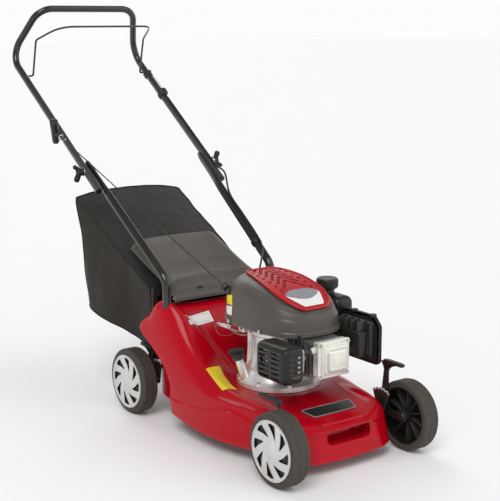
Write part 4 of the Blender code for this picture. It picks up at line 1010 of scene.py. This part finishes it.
def build_dipstick():
    foot, mouth = FILLER_FOOT, FILLER_MOUTH
    along = (mouth - foot).normalized()
    turn = aim(along)
    head = lathe(((0.0, 0.016), (0.01, 0.0158), (0.0122, 0.0145), (0.0128, 0.01), (0.0146, 0.0085),
        (0.0146, 0.0006), (0.0, 0.0006)), BLACK, mouth, turn, 48, ring=False)
    parts = [head, bar(mouth - along * 0.018, mouth + along * 0.004, 0.003, BLACK, 12)]
    across = Vector((0.75, -0.66, 0.0))
    across = (across - across.project(along)).normalized()
    aside = along.cross(across)
    wing = []
    for i in range(17):
        t = -1 + i / 8
        end = sqrt(max(0.0, 1 - abs(t) ** 7))
        middle = mouth + along * 0.0195 + across * 0.0195 * t
        wing.append([middle + aside * (0.0012 + 0.004 * end) * u + along * 0.0075 * end * v
            for u, v in superellipse(1.0, 1.0, 3.0, 24)])
    parts.append(loft(wing, BLACK, close_rows=True, cap=True))
    for u, v in circle(0.0122, 12):
        rib = mouth + turn.to_matrix() @ Vector((u, v, 0))
        parts.append(bar(rib + along * 0.003, rib + along * 0.013, 0.0014, BLACK, 8))
    finish("dipstick_cap", parts, "dipstick", ["dipstick"])


def build_valve_cover():
    """The rocker cover: bolted flange, stepped rim and a raised box with rounded edges."""
    flat = (pi / 2, 0, 0)
    flange = plate([rounded_outline([(-0.045, 0.197), (0.045, 0.197), (0.045, 0.282),
        (-0.045, 0.282)], 0.009, 6)], 0.0066, COVER, (0, 0.0489, 0), flat, 0.001)
    step = box((-0.037, 0.041, 0.2045), (0.037, 0.048, 0.2745), COVER, 0.003, 4)
    rim = box((-0.0325, 0.037, 0.208), (0.033, 0.048, 0.271), COVER, 0.0036, 4)
    hump = box((-0.0265, 0.027, 0.213), (0.028, 0.048, 0.264), COVER, 0.0075, 6)
    parts = [flange, step, rim, hump]
    for x, z in ((-0.0385, 0.2035), (0.0385, 0.2035), (-0.0385, 0.2755), (0.0385, 0.2755)):
        parts.append(bar((x, 0.0485, z), (x, 0.044, z), 0.0068, COVER, 24, round_by=0.0008))
        parts += bolt((x, 0.044, z), (0, -1, 0), 0.0038, 0.0046)
    parts.append(box((-0.018, 0.0262, 0.226), (0.02, 0.028, 0.252), COVER, 0.0007, 2))
    finish("rocker_cover", parts, "chassis", ["valve_cover"])


def build_muffler_guard():
    """The moulded box round the muffler, with its two columns of slots and the round outlet."""
    guard = box((-0.143, 0.04, 0.1975), (-0.084, 0.152, 0.283), BLACK, 0.016, 8)
    hollow = box((-0.1405, 0.0425, 0.2), (-0.06, 0.1495, 0.2805), BLACK, 0.014, 6)
    cut(guard, hollow)
    for v in guard.data.vertices:
        outside = min(1.0, max(0.0, (-0.108 - v.co.x) / 0.01))
        if v.co.z > 0.262:
            v.co.z += 0.0075 * outside * min(1.0, (v.co.z - 0.262) / 0.018)
    for row in range(6):
        z = 0.208 + row * 0.0112
        for low_y, high_y in ((0.06, 0.091), (0.099, 0.136)):
            cut(guard, box((-0.15, low_y, z), (-0.136, high_y, z + 0.005), BLACK, 0.0015, 2))
        if row < 5:
            cut(guard, box((-0.127, 0.03, z + 0.005), (-0.099, 0.048, z + 0.01), BLACK, 0.0015, 2))
    cut(guard, bar((-0.15, 0.123, 0.244), (-0.13, 0.123, 0.244), 0.0068, BLACK, 40))
    boss = lathe(((0.009, 0.0016), (0.01, 0.0006), (0.01, -0.003), (0.0066, -0.003),
        (0.0066, -0.001), (0.0078, 0.0016)), BLACK, (-0.1432, 0.123, 0.244), TO_MINUS_X, 40)
    ridge = tube(rounded([(-0.085, 0.0402, 0.205), (-0.129, 0.0402, 0.205), (-0.129, 0.0402, 0.277),
        (-0.085, 0.0402, 0.277)], 0.01, 6), 0.001, BLACK, 3)
    finish("muffler_shield", [guard, boss, ridge], "chassis", ["muffler_guard"],
        34)


def build_fuel_system():
    tank = box((0.118, 0.176, 0.236), (0.176, 0.33, 0.334), BLACK, 0.018, 8)
    neck = lathe(((0.017, 0.344), (0.0176, 0.34), (0.0176, 0.333), (0.0215, 0.33), (0.0215, 0.324),
        (0.012, 0.324), (0.012, 0.344)), BLACK, (0.14, 0.238, 0.0), steps=64)
    seam = tube(rounded([(0.1178, 0.194, 0.286), (0.1178, 0.3302, 0.286), (0.1762, 0.3302, 0.286),
        (0.1762, 0.1758, 0.286), (0.1178, 0.1758, 0.286), (0.1178, 0.192, 0.286)], 0.017, 8),
        0.0011, BLACK, 3)
    finish("tank_moulding", [tank, neck, seam], "chassis", ["fuel_tank"])

    top = (0.14, 0.238, 0.3396)
    cap = lathe(((0.0, 0.0316), (0.017, 0.0318), (0.02, 0.0322), (0.0235, 0.0318), (0.0256, 0.0296),
        (0.026, 0.027), (0.026, 0.011), (0.0252, 0.0085), (0.0205, 0.0075), (0.02, 0.005),
        (0.0, 0.005)), BLACK, top, steps=96, ring=False)
    parts = [cap]
    for u, v in circle(0.0257, 30):
        x, y = top[0] + u, top[1] + v
        parts.append(bar((x, y, top[2] + 0.012), (x, y, top[2] + 0.028), 0.0013, BLACK, 8,
            round_by=0.0004))
    finish("tank_cap", parts, "fuel_cap", ["fuel_cap"])


def build_air_filter():
    body = box((0.113, 0.052, 0.22), (0.129, 0.158, 0.303), BLACK, 0.005, 4)
    cut(body, box((0.115, 0.055, 0.223), (0.14, 0.155, 0.3), BLACK, 0))
    parts = [body, box((0.087, 0.06, 0.222), (0.115, 0.15, 0.282), BLACK, 0.009, 5)]
    for i in range(4):
        y = 0.07 + i * 0.022
        parts.append(box((0.09, y, 0.22), (0.127, y + 0.0022, 0.3046), BLACK, 0.0006, 2))
    parts.append(tube(rounded([(0.0905, 0.0592, 0.226), (0.0905, 0.0592, 0.279),
        (0.112, 0.0592, 0.279), (0.112, 0.0592, 0.226)], 0.007, 5), 0.0012, BLACK, 3))
    finish("filter_body", parts, "chassis", ["air_filter_body"])

    outline = rounded_outline([(-0.068, 0.0), (0.068, 0.0), (0.068, 0.116), (-0.046, 0.116),
        (-0.068, 0.094)], 0.014, 8)
    centre = Vector((0.0, 0.058))
    inner = [tuple(centre + (Vector(p) - centre) * 0.86) for p in outline]
    at = Vector((0.1336, 0.106, 0.2))
    cover = plate([outline], 0.008, BLACK, at + Vector((-0.0005, 0, 0)), SIDE_VIEW, 0.002)
    lip = plate([outline, inner], 0.009, BLACK, at, SIDE_VIEW, 0.0016)
    parts = [cover, lip]
    for y in (0.058, 0.122):
        parts += [box((0.125, y, 0.311), (0.1392, y + 0.014, 0.3185), BLACK, 0.0016, 3),
            box((0.137, y + 0.002, 0.296), (0.1396, y + 0.012, 0.317), BLACK, 0.0008, 2)]
    for y in (0.07, 0.09, 0.11, 0.13):
        parts.append(box((0.1372, y, 0.22), (0.1388, y + 0.003, 0.29), BLACK, 0.0006, 2))
    finish("filter_cover_moulding", parts, "filter_cover", ["air_filter_cover"])


def build_linkage():
    """Governor levers, springs and brackets under the cowl's rear right corner."""
    parts = [plate([rounded_outline([(-0.022, -0.008), (0.026, -0.01), (0.03, 0.002), (0.004, 0.01),
        (-0.02, 0.008)], 0.003), circle(0.0025, 16)], 0.0016, BRASS, (-0.09, 0.316, 0.278),
        (0, 0, radians(70))),
        plate([rounded_outline([(-0.006, -0.006), (0.04, -0.004), (0.04, 0.003), (-0.006, 0.006)],
        0.003), circle(0.0024, 16)], 0.0016, ZINC, (-0.088, 0.33, 0.266), (radians(90), 0,
        radians(100))), tube(smooth_route([(-0.089, 0.342, 0.27), (-0.1, 0.32, 0.27),
        (-0.101, 0.27, 0.262), (-0.09, 0.23, 0.268), (-0.07, 0.19, 0.274)], 40), 0.0007, ZINC, 3),
        # The next wire is in the alloy darkened as painted shade.
        tube(smooth_route([(-0.086, 0.365, 0.276), (-0.098, 0.37, 0.26), (-0.096, 0.356, 0.242),
        (-0.086, 0.33, 0.244), (-0.082, 0.3, 0.26)], 40), 0.0007, SHADED_ALLOY, 3),
        box((-0.096, 0.256, 0.268), (-0.078, 0.278, 0.28), CAST, 0.0012, 3),
        *bolt((-0.09, 0.316, 0.2788), (0, 0, 1), 0.0034, 0.004), *bolt((-0.096, 0.267, 0.274),
        (-1, 0, 0), 0.004, 0.0045)]
    spring = []
    for i in range(97):
        a = tau * i / 8
        spring.append(Vector((-0.092 + 0.0024 * cos(a), 0.282 + i * 0.00035, 0.264
            + 0.0024 * sin(a))))
    parts.append(tube(spring, 0.0005, ZINC, 2))
    finish("governor_linkage", parts, "chassis")


def build_ignition():
    """The plug's rubber boot and its lead, which runs up under the cowl."""
    boot = lathe(((0.0, 0.02), (0.006, 0.02), (0.0072, 0.0185), (0.0072, 0.004), (0.0058, 0.0),
        (0.0, 0.0)), BLACK, (-0.056, 0.0605, 0.262), TO_MINUS_X, 32, ring=False)
    lead = tube(smooth_route([(-0.068, 0.0605, 0.265), (-0.07, 0.064, 0.276), (-0.064, 0.08, 0.286),
        (-0.056, 0.105, 0.288), (-0.05, 0.13, 0.286)], 30), 0.003, BLACK, 4)
    hose = tube(smooth_route([(0.06, 0.11, 0.26), (0.08, 0.13, 0.27), (0.105, 0.165, 0.264),
        (0.12, 0.185, 0.256)], 30), 0.0036, BLACK, 4)
    finish("ignition_lead", [boot, lead, hose], "chassis")


# ---------------------------------------------------------------- handle

# The left half of the handle, and which way the starter grip lies.
TOP_CORNER = Vector((0.1507, 1.1487, 1.0116))
GRIP_BEND = Vector((0.2001, 1.2375, 0.8805))
UPPER_FOOT = Vector((0.1925, 0.7585, 0.55))
LOWER_BEND = Vector((0.1597, 0.489, 0.358))
LOWER_TOP = Vector((0.1775, 0.848, 0.614))
BAIL_PIVOT = Vector((0.186, 1.158, 0.827))
GRIP_ALONG = Vector((0.328, 0.483, -0.812)).normalized()


def handle_point(height, offset=0.0, side=1):
    t = (height - UPPER_FOOT.z) / (GRIP_BEND.z - UPPER_FOOT.z)
    along = (GRIP_BEND - UPPER_FOOT).normalized()
    point = mix(UPPER_FOOT, GRIP_BEND, t)
    point += Vector((0, -along.z, along.y)).normalized() * offset
    return Vector((side * point.x, point.y, point.z))


def build_upper_handle():
    half = [UPPER_FOOT, GRIP_BEND, TOP_CORNER]
    route = rounded([*half, *[mirrored(p) for p in reversed(half)]], 0.055, 20)
    parts = [tube(route, UPPER_TUBE_R, PAINT, 10)]
    along = (GRIP_BEND - UPPER_FOOT).normalized()
    for _, sign in SIDES:
        foot = Vector((sign * UPPER_FOOT.x, UPPER_FOOT.y, UPPER_FOOT.z))
        down = -Vector((sign * along.x, along.y, along.z))
        parts.append(bar(foot - down * 0.002, foot + down * 0.0022, 0.0088, BLACK, 32,
            round_by=0.001))
        hole = Vector((sign * 0.1935, FOLD_Y, FOLD_Z))
        parts.append(bar(hole + Vector((sign * 0.008, 0, 0)), hole + Vector((sign * 0.0106, 0, 0)),
            0.0085, ZINC, 32, round_by=0.0004))
    finish("upper_handle_tube", parts, "handle", ["upper_handle"], 50)


def build_lower_tubes():
    for side, sign in SIDES:
        foot = Vector((LOWER_BEND.x, LOWER_BEND.y, 0.224))
        route = rounded([foot, LOWER_BEND, LOWER_TOP], 0.045, 18)
        straight = route[-2]
        route[-1:] = [mix(straight, LOWER_TOP, t) for t in (0.3, 0.6, 0.68, 0.71, 0.74, 0.78, 0.95,
            0.985, 1.0)]
        rows = []
        for i, point in enumerate(route):
            along = (route[min(i + 1, len(route) - 1)] - route[max(i - 1, 0)]).normalized()
            across = Vector((1, 0, 0))
            across = (across - along * across.dot(along)).normalized()
            other = along.cross(across)
            share = (point - straight).length / (LOWER_TOP - straight).length
            beyond = (point - straight).dot(LOWER_TOP - straight) > 0
            flat = max(0.0, min(1.0, (share - 0.66) / 0.11)) if beyond else 0.0
            close = max(0.0, (share - 0.95) / 0.05) if beyond else 0.0
            thin = LOWER_TUBE_R * (1 - 0.52 * flat) * sqrt(max(0.02, 1 - close ** 2 * 0.5))
            wide = LOWER_TUBE_R * (1 + 0.06 * flat) * sqrt(max(0.02, 1 - close ** 2 * 0.55))
            ring = [point + across * thin * u + other * wide * v for u, v in circle(1, 32)]
            rows.append([(sign * p.x, p.y, p.z) for p in ring])
        tube_mesh = loft(rows, PAINT, close_rows=True, cap=True)
        finish(f"lower_handle_{side}_tube", [tube_mesh], "chassis",
            [f"lower_handle_{side}"], 45)


def build_wing_knobs():
    """A hub with a flange, and two fat lobes that lean outwards, one short and one long."""
    for side, sign in SIDES:
        at = Vector((sign * KNOB_X, FOLD_Y, FOLD_Z))
        turn = OUTWARD[sign]
        hub = lathe(((0.0, 0.0185), (0.0058, 0.0182), (0.0082, 0.016), (0.009, 0.012),
            (0.0094, 0.004), (0.0104, 0.0034), (0.0104, 0.0006), (0.0, 0.0006)), BLACK, at, turn,
            48, ring=False)
        parts = [hub]
        flip = -sign
        for foot, tip, wide, thick in (((0.009, -0.001, 0.004), (0.03, -0.004, 0.017), 0.0062,
                0.0046), ((0.01, 0.001, -0.002), (0.0205, 0.002, -0.0265), 0.0082, 0.0058)):
            foot = at + Vector((sign * foot[0], foot[1], flip * foot[2]))
            tip = at + Vector((sign * tip[0], tip[1], flip * tip[2]))
            along = (tip - foot).normalized()
            across = along.cross(Vector((0, 1, 0))).normalized()
            rows = []
            for i in range(13):
                t = i / 12
                end = sqrt(max(0.0, 1 - t ** 9))
                half_w = max(0.0006, wide * (0.8 + 0.2 * t) * end)
                half_t = max(0.0005, thick * (0.8 + 0.2 * t) * end)
                rows.append([mix(foot, tip, t) + across * u + Vector((0, v, 0))
                    for u, v in superellipse(half_w, half_t, 3.0, 28)])
            parts.append(loft(rows, BLACK, close_rows=True, cap=True))
        parts.append(lathe(((0.0068, 0.0012), (0.0112, 0.0012), (0.0112, 0.0), (0.0068, 0.0)), ZINC,
            at, turn, 40))
        finish(f"wing_knob_{side}_moulding", parts, f"knob_{side}",
            [f"wing_knob_{side}"], 40)


def build_bail():
    half = [*rounded([BAIL_PIVOT, Vector((0.1735, 1.155, 0.826)), Vector((0.173, 1.1305, 0.926)),
        Vector((0.158, 1.084, 0.945))], 0.012, 8)[:-1], *smooth_route([(0.158, 1.084, 0.945),
        (0.148, 1.058, 0.9545), (0.133, 1.037, 0.9605), (0.113, 1.027, 0.9628),
        (0.09, 1.025, 0.963)], 24)]
    route = [*half, *[mirrored(p) for p in reversed(half)]]
    finish("bail_rod", [tube(route, BAIL_R, PAINT, 5)], "bail", ["bail"], 50)


def build_cable_bracket():
    """The clamp that guides the brake cable, and the small block where the bail takes it."""
    along = (GRIP_BEND - UPPER_FOOT).normalized()
    turn = aim(along)
    low, high = handle_point(0.764), handle_point(0.82)
    front = Vector((0, -along.z, along.y)).normalized()
    profile = band(0.0097, 0.0122, 0.0128, 0.0075)
    parts = [lathe(profile, BLACK, low, turn, 48)]
    block = box((-0.007, -0.006, -0.0085), (0.007, 0.006, 0.0085), BLACK, 0.002, 4)
    block.location, block.rotation_euler = low + front * 0.015, turn
    lobe = bar(low - Vector((0.006, 0, 0)) + front * 0.012, low + Vector((0.006, 0, 0))
        + front * 0.012, 0.0062, BLACK, 32, round_by=0.0012)
    lobe.location = low + front * 0.015 - along * 0.01
    wire = tube(smooth_route([low + front * 0.017 + along * 0.006, mix(low, high, 0.5)
        + front * 0.0168, high + front * 0.015], 16), 0.0009, ZINC, 3)
    upper = lathe(profile, BLACK, high, turn, 48)
    ear = bar(high - Vector((0.005, 0, 0)) + front * 0.011, high + Vector((0.005, 0, 0))
        + front * 0.011, 0.0056, BLACK, 32, round_by=0.0012)
    parts += [block, lobe, wire, upper, ear]
    finish("cable_clamp", parts, "handle", ["cable_bracket"])


def build_starter_grip():
    """A bar that tapers towards both ends, on the rope's short neck."""
    centre = GUIDE + PULL * 0.028
    along = (GRIP_ALONG - GRIP_ALONG.project(PULL)).normalized()
    profile = ((0.0, 0.039), (0.0062, 0.0388), (0.0086, 0.0374), (0.0094, 0.034), (0.0097, 0.018),
        (0.0101, 0.0), (0.0108, -0.018), (0.0114, -0.033), (0.0108, -0.0366), (0.008, -0.0386),
        (0.0, -0.039))
    grip = lathe(profile, BLACK, centre, aim(along), 48, ring=False)
    neck = bar(GUIDE + PULL * 0.005, centre, 0.0052, BLACK, 32, end_radius=0.0075, round_by=0.0008)
    finish("starter_handle", [grip, neck], "pull_grip", ["starter_grip"], 50)


def build_rope_eye():
    """The pigtail of bright wire on the right leg."""
    leg = handle_point(GUIDE.z, 0.0, -1)
    leg += (GUIDE - leg).project(mirrored(GRIP_BEND - UPPER_FOOT))
    out = (GUIDE - leg).normalized()
    inward = PULL_AXES.inverted() @ -out
    start = atan2(inward.y, inward.x)
    coil = []
    for i in range(53):
        a = start + radians(400) * i / 52
        coil.append(GUIDE + PULL_AXES @ Vector((0.0068 * cos(a), 0.0068 * sin(a), -0.0026
            + 0.0052 * i / 52)))
    stem = [leg + out * (UPPER_TUBE_R + 0.0008), mix(leg, GUIDE - out * 0.0066, 0.8)]
    nut = bar(leg + out * (UPPER_TUBE_R + 0.0006), leg + out * (UPPER_TUBE_R + 0.0042), 0.0052,
        ZINC, 6, round_by=0.0005)
    finish("rope_eye", [tube([*stem, *coil], 0.0016, ZINC, 4), nut], "handle",
        ["rope_guide"], 50)


def build_rope():
    """The starter rope, drawn straight from the cowl to the eye."""
    sides, turns = 16, 150
    length = (GUIDE - OUTLET).length
    rows = []
    for i in range(421):
        t = i / 420
        row = []
        for k in range(sides):
            a = tau * k / sides
            strand = 0.00012 * sin(4 * a + t * turns * tau / 4)
            row.append(OUTLET + PULL_AXES @ Vector(((ROPE_R + strand) * cos(a),
                (ROPE_R + strand) * sin(a), t * length)))
        rows.append(row)
    rope = finish("starter_cord", [loft(rows, ROPE, close_rows=True, cap=True)], None,
        ["starter_rope"], 60)
    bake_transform(rope)


def build_rope_tail():
    """The rope inside the grip's neck, which is what shows between eye and grip once pulled."""
    rows = [[GUIDE + PULL_AXES @ Vector((u, v, -0.004 + 0.03 * i / 160)) for u, v in circle(ROPE_R,
        12)] for i in range(161)]
    tail = finish("starter_cord_tail", [loft(rows, ROPE, close_rows=True, cap=True)], None,
        (), 60)
    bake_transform(tail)


def build_cable():
    """The brake cable, from the clamp down the left legs and across to the engine."""
    beside = UPPER_TUBE_R + 0.0037
    lower_along = (LOWER_TOP - LOWER_BEND).normalized()
    lower_front = Vector((0, -lower_along.z, lower_along.y)).normalized()
    low = [mix(LOWER_BEND, LOWER_TOP, t) + lower_front * (LOWER_TUBE_R + 0.0055)
        for t in (0.58, 0.4, 0.2)]
    points = [*[handle_point(z, beside) for z in (0.75, 0.7, 0.65, 0.6, 0.575)],
        Vector((0.188, 0.737, 0.57)), *low, (0.148, 0.509, 0.396), (0.118, 0.475, 0.378),
        (0.085, 0.44, 0.352), (0.064, 0.41, 0.312), (0.056, 0.382, 0.282), (0.053, 0.345, 0.2735)]
    route = smooth_route(points, 160)
    cable = finish("brake_cable_sheath", [tube(route, CABLE_R, BLACK, 5)], None,
        ["brake_cable"], 60)
    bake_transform(cable)


def build_cable_clip():
    along = (LOWER_TOP - LOWER_BEND).normalized()
    clip = lathe(band(0.0114, 0.0133, 0.0137, 0.006), BLACK, mix(LOWER_BEND, LOWER_TOP, 0.19),
        aim(along), 48)
    finish("cable_band", [clip], "chassis", ["cable_clip"])


# ---------------------------------------------------------------- grass bag and flap

# From the mouth to the back: the rim, the side, the lower corner, and the floor's height.
BAG_STATIONS = (((0.15, 0.584, 0.318), (0.147, 0.584, 0.24), (0.138, 0.584, 0.122), 0.114),
    ((0.158, 0.65, 0.362), (0.15, 0.65, 0.295), (0.134, 0.655, 0.16), 0.14), ((0.16, 0.72, 0.398),
    (0.191, 0.722, 0.306), (0.168, 0.715, 0.184), 0.165), ((0.161, 0.82, 0.449),
    (0.203, 0.785, 0.33), (0.194, 0.765, 0.2), 0.182), ((0.164, 0.91, 0.494), (0.203, 0.828, 0.37),
    (0.2, 0.815, 0.218), 0.202), ((0.165, 0.94, 0.508), (0.194, 0.848, 0.375), (0.188, 0.83, 0.228),
    0.214))
BAG_CROWN = 0.016
# Columns where a section has its rim and its lower seam, and the row of the back's edge.
RIM, SEAM, BACK = 2, 4, 5


def bag_section(rim, side, corner, floor_z):
    (rx, ry, rz), (sx, sy, sz), (cx, cy, cz) = rim, side, corner
    crown = (0.0, ry, rz + BAG_CROWN)
    half = [(rx * 0.6, ry, rz + BAG_CROWN * 0.75), rim, (sx, sy, sz), (cx, cy, cz + 0.012),
        (cx * 0.6, cy, floor_z)]
    return [crown, *half, (0.0, cy, floor_z), *[(-x, y, z) for x, y, z in reversed(half)]]


def build_bag():
    """Cloth over a frame: a netting top, woven sides that sag, a bulging back, bound seams."""
    rows = [bag_section(*station) for station in BAG_STATIONS]
    count = len(rows[0])
    bm = bmesh.new()
    pattern = bm.loops.layers.uv.new("weave")
    crease = bm.edges.layers.float.new("crease_edge")
    verts = [[bm.verts.new(p) for p in row] for row in rows]
    last = verts[-1]
    middle = sum((v.co for v in last), Vector()) / len(last)
    verts.append([bm.verts.new(mix(v.co, middle, 0.45) + Vector((0, 0.014, 0))) for v in last])
    hub = bm.verts.new(middle + Vector((0, 0.016, 0)))
    around = [0.0]
    for a, b in zip(rows[3], [*rows[3][1:], rows[3][0]]):
        around.append(around[-1] + (Vector(a) - Vector(b)).length)
    along = [0.0]
    for a, b in zip(verts, verts[1:]):
        along.append(along[-1] + (a[3].co - b[3].co).length)
    for r, (row, below) in enumerate(zip(verts, verts[1:])):
        for i in range(count):
            j = (i + 1) % count
            face = bm.faces.new((row[i], row[j], below[j], below[i]))
            over_top = i < RIM or i >= count - RIM
            face.material_index = 0 if over_top and r < BACK else 1
            for loop, (u, v) in zip(face.loops, ((i, r), (i + 1, r), (i + 1, r + 1), (i, r + 1))):
                loop[pattern].uv = (around[u], along[v])
    for i in range(count):
        face = bm.faces.new((verts[-1][i], verts[-1][(i + 1) % count], hub))
        face.material_index = 1
        for loop in face.loops:
            loop[pattern].uv = (loop.vert.co.x, loop.vert.co.z)
    for edge in bm.edges:
        pairs = [next(((r, row.index(v)) for r, row in enumerate(verts) if v in row), (9, 9))
            for v in edge.verts]
        if all(column in (RIM, count - RIM) and r <= BACK for r, column in pairs):
            edge[crease] = 0.9
        elif all(r == BACK for r, _ in pairs):
            edge[crease] = 0.85
        elif all(column in (SEAM, count - SEAM) for _, column in pairs):
            edge[crease] = 0.65
    bag = from_bmesh("bag", bm, MESH)
    bag.data.materials.append(WEAVE)
    subdivided(bag, 4)
    piece = finish("bag_cloth", [bag], None, ["grass_bag"], 60)
    # Soft folds: the woven cloth hangs in shallow vertical waves between its seams.
    mesh = piece.data
    normals = [v.normal.copy() for v in mesh.vertices]
    for v, normal in zip(mesh.vertices, normals):
        p = v.co - ORIGIN
        front = min(1.0, max(0.0, (p.y - 0.59) / 0.06))
        side = abs(normal.x)
        folds = noise.noise(Vector((p.x * 5, p.y * 30, p.z * 7)))
        broad = noise.noise(Vector((p.x * 9 + 5, p.y * 9, p.z * 9)))
        top = max(0.0, normal.z)
        v.co -= normal * front * (0.003 * side * folds + 0.0028 * broad
            + 0.0012 * top * noise.noise(p * 40))
    shelled(piece, CLOTH_WALL)
    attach(piece, "bag")

    skin = bvh(piece)

    def sewn(route, out=0.0006):
        """A seam's route, laid onto the cloth wherever the cloth went."""
        laid = []
        for p in route:
            spot, normal, _, _ = skin.find_nearest(p + ORIGIN)
            laid.append(spot + normal * out - ORIGIN)
        return laid

    parts = []
    for sign in (-1, 1):
        rim = smooth_route([(sign * s[0][0], s[0][1], s[0][2]) for s in BAG_STATIONS], 60)
        parts.append(tube(sewn(rim), 0.0026, BINDING, 4))
        seam = smooth_route([(sign * s[2][0], s[2][1], s[2][2] + 0.012) for s in BAG_STATIONS], 60)
        parts.append(tube(sewn(seam), 0.0018, BINDING, 3))
        tail = smooth_route([(sign * x, y, z) for x, y, z in (BAG_STATIONS[-1][0],
            BAG_STATIONS[-1][1], (0.188, 0.83, 0.24))], 30)
        parts.append(tube(sewn(tail), 0.0016, BINDING, 3))
    back = smooth_route([rows[-1][column] for column in range(-RIM, RIM + 1)], 60)
    parts.append(tube(sewn(back), 0.0026, BINDING, 4))
    finish("bag_seams", parts, "bag", (), 60)


def build_bag_frame():
    frame_box = box((-0.1484, 0.574, 0.108), (0.1484, 0.5824, 0.322), BLACK, 0.003, 3)
    cut(frame_box, box((-0.134, 0.56, 0.122), (0.134, 0.6, 0.3), BLACK, 0.01, 5))
    finish("bag_mouth_frame", [frame_box], "bag", ["bag_frame"])


# y, height along the middle, and height of the turned-down sides.
FLAP_STATIONS = ((0.479, 0.304, 0.3035), (0.48, 0.311, 0.3095), (0.486, 0.3185, 0.316),
    (0.498, 0.327, 0.322), (0.507, 0.338, 0.328), (0.522, 0.3475, 0.335), (0.55, 0.357, 0.346),
    (0.62, 0.3865, 0.372), (0.7, 0.42, 0.404))
HINGE_Y, HINGE_Z = 0.49, 0.309


def build_flap():
    """The lid over the bag's mouth: crowned, with a turned-down edge, a middle groove and ribs."""
    stations = smooth_route(FLAP_STATIONS, 64)
    shares = [i / 24 for i in range(25)]
    rows = []
    for y, panel_z, skirt_z in stations:
        wide = 0.143 - 0.007 * min(1.0, max(0.0, (y - 0.515) / 0.05))
        crown_h = 0.003 * min(1.0, max(0.0, (y - 0.5) / 0.03))
        row = []
        for s in shares:
            x = wide * s
            crown = crown_h * (1 - min(1.0, x / 0.104) ** 2)
            fall = max(0.0, (x - 0.106) / (wide - 0.106))
            hem_z = skirt_z - 0.004 * min(1.0, crown_h / 0.003)
            z = panel_z + crown + (hem_z - panel_z) * fall ** 1.8
            groove = 0.0012 if x < 0.0022 else 0.0
            raised = 0.0014 if (0.022 < x < 0.092 and 0.575 < y < 0.68) else 0.0
            row.append(Vector((x, y, z - groove + raised)))
        rows.append([mirrored(p) for p in reversed(row[1:])] + row)
    flap = shelled(loft(rows, FLAP), FLAP_WALL, 0.0)
    parts = [flap]
    edge = [p + Vector((0, -0.0004, -0.0012)) for p in rows[-1]]
    parts.append(tube(edge, 0.002, FLAP, 4))
    for x in (-0.095, 0.0, 0.095):
        knuckle = bar((x - 0.014, HINGE_Y, HINGE_Z), (x + 0.014, HINGE_Y, HINGE_Z), 0.0052, FLAP,
            32, round_by=0.0006)
        cut(knuckle, bar((x - 0.02, HINGE_Y, HINGE_Z), (x + 0.02, HINGE_Y, HINGE_Z), 0.0028, FLAP,
            24))
        parts += [knuckle, box((x - 0.0135, 0.493, 0.3055), (x + 0.0135, 0.504, 0.311), FLAP,
            0.0008, 2)]
    for x in (-0.058, 0.058):
        parts += bolt((x, 0.54, 0.3536), (0, -0.3, 0.95), 0.003, 0.0026, BLACK)
        parts.append(box((x - 0.0085, 0.4925, 0.318), (x + 0.0085, 0.501, 0.33), BLACK, 0.0018, 3))
    finish("flap_lid", parts, "flap", ["rear_flap"], 34)


# ---------------------------------------------------------------- carried-over nodes

# The finish, and how far the edges are rounded, for each CAD node that stays in view.
CARRIED = (
    (ZINC, 0.0004, ("brake_lever", "flap_hinge_rod", "blade", "blade_boss", "blade_bolt",
                    "crankshaft")),
    (CAST, 0.0005, ("flywheel", "carburettor")),
    (ZINC, 0.0, ("muffler",)),
    (CERAMIC, 0.0, ("spark_plug",)),
    (BLACK, 0.0005, ("starter_pulley",)),
    (PAPER, 0.0, ("air_filter_element",)),
)


def finish_carried():
    for look, round_by, names in CARRIED:
        for name in names:
            node = NODES[name]
            node.data.materials.clear()
            node.data.materials.append(look)
            weld = node.modifiers.new("weld", "WELD")
            weld.merge_threshold = 0.00001
            if round_by:
                bevelled(node, round_by, 2, 35)


def main():
    build_stage()
    build_rope()
    build_rope_tail()
    build_cable()
    deck = build_deck()
    build_labels(deck)
    build_badge()
    build_wheels()
    cowl = build_cowl()
    build_cowl_labels(cowl)
    build_grille()
    build_sump()
    build_cylinder()
    build_dipstick()
    build_valve_cover()
    build_muffler_guard()
    build_fuel_system()
    build_air_filter()
    build_linkage()
    build_ignition()
    build_upper_handle()
    build_lower_tubes()
    build_wing_knobs()
    build_bail()
    build_cable_bracket()
    build_starter_grip()
    build_rope_eye()
    build_cable_clip()
    build_bag()
    build_bag_frame()
    build_flap()
    finish_carried()


main()
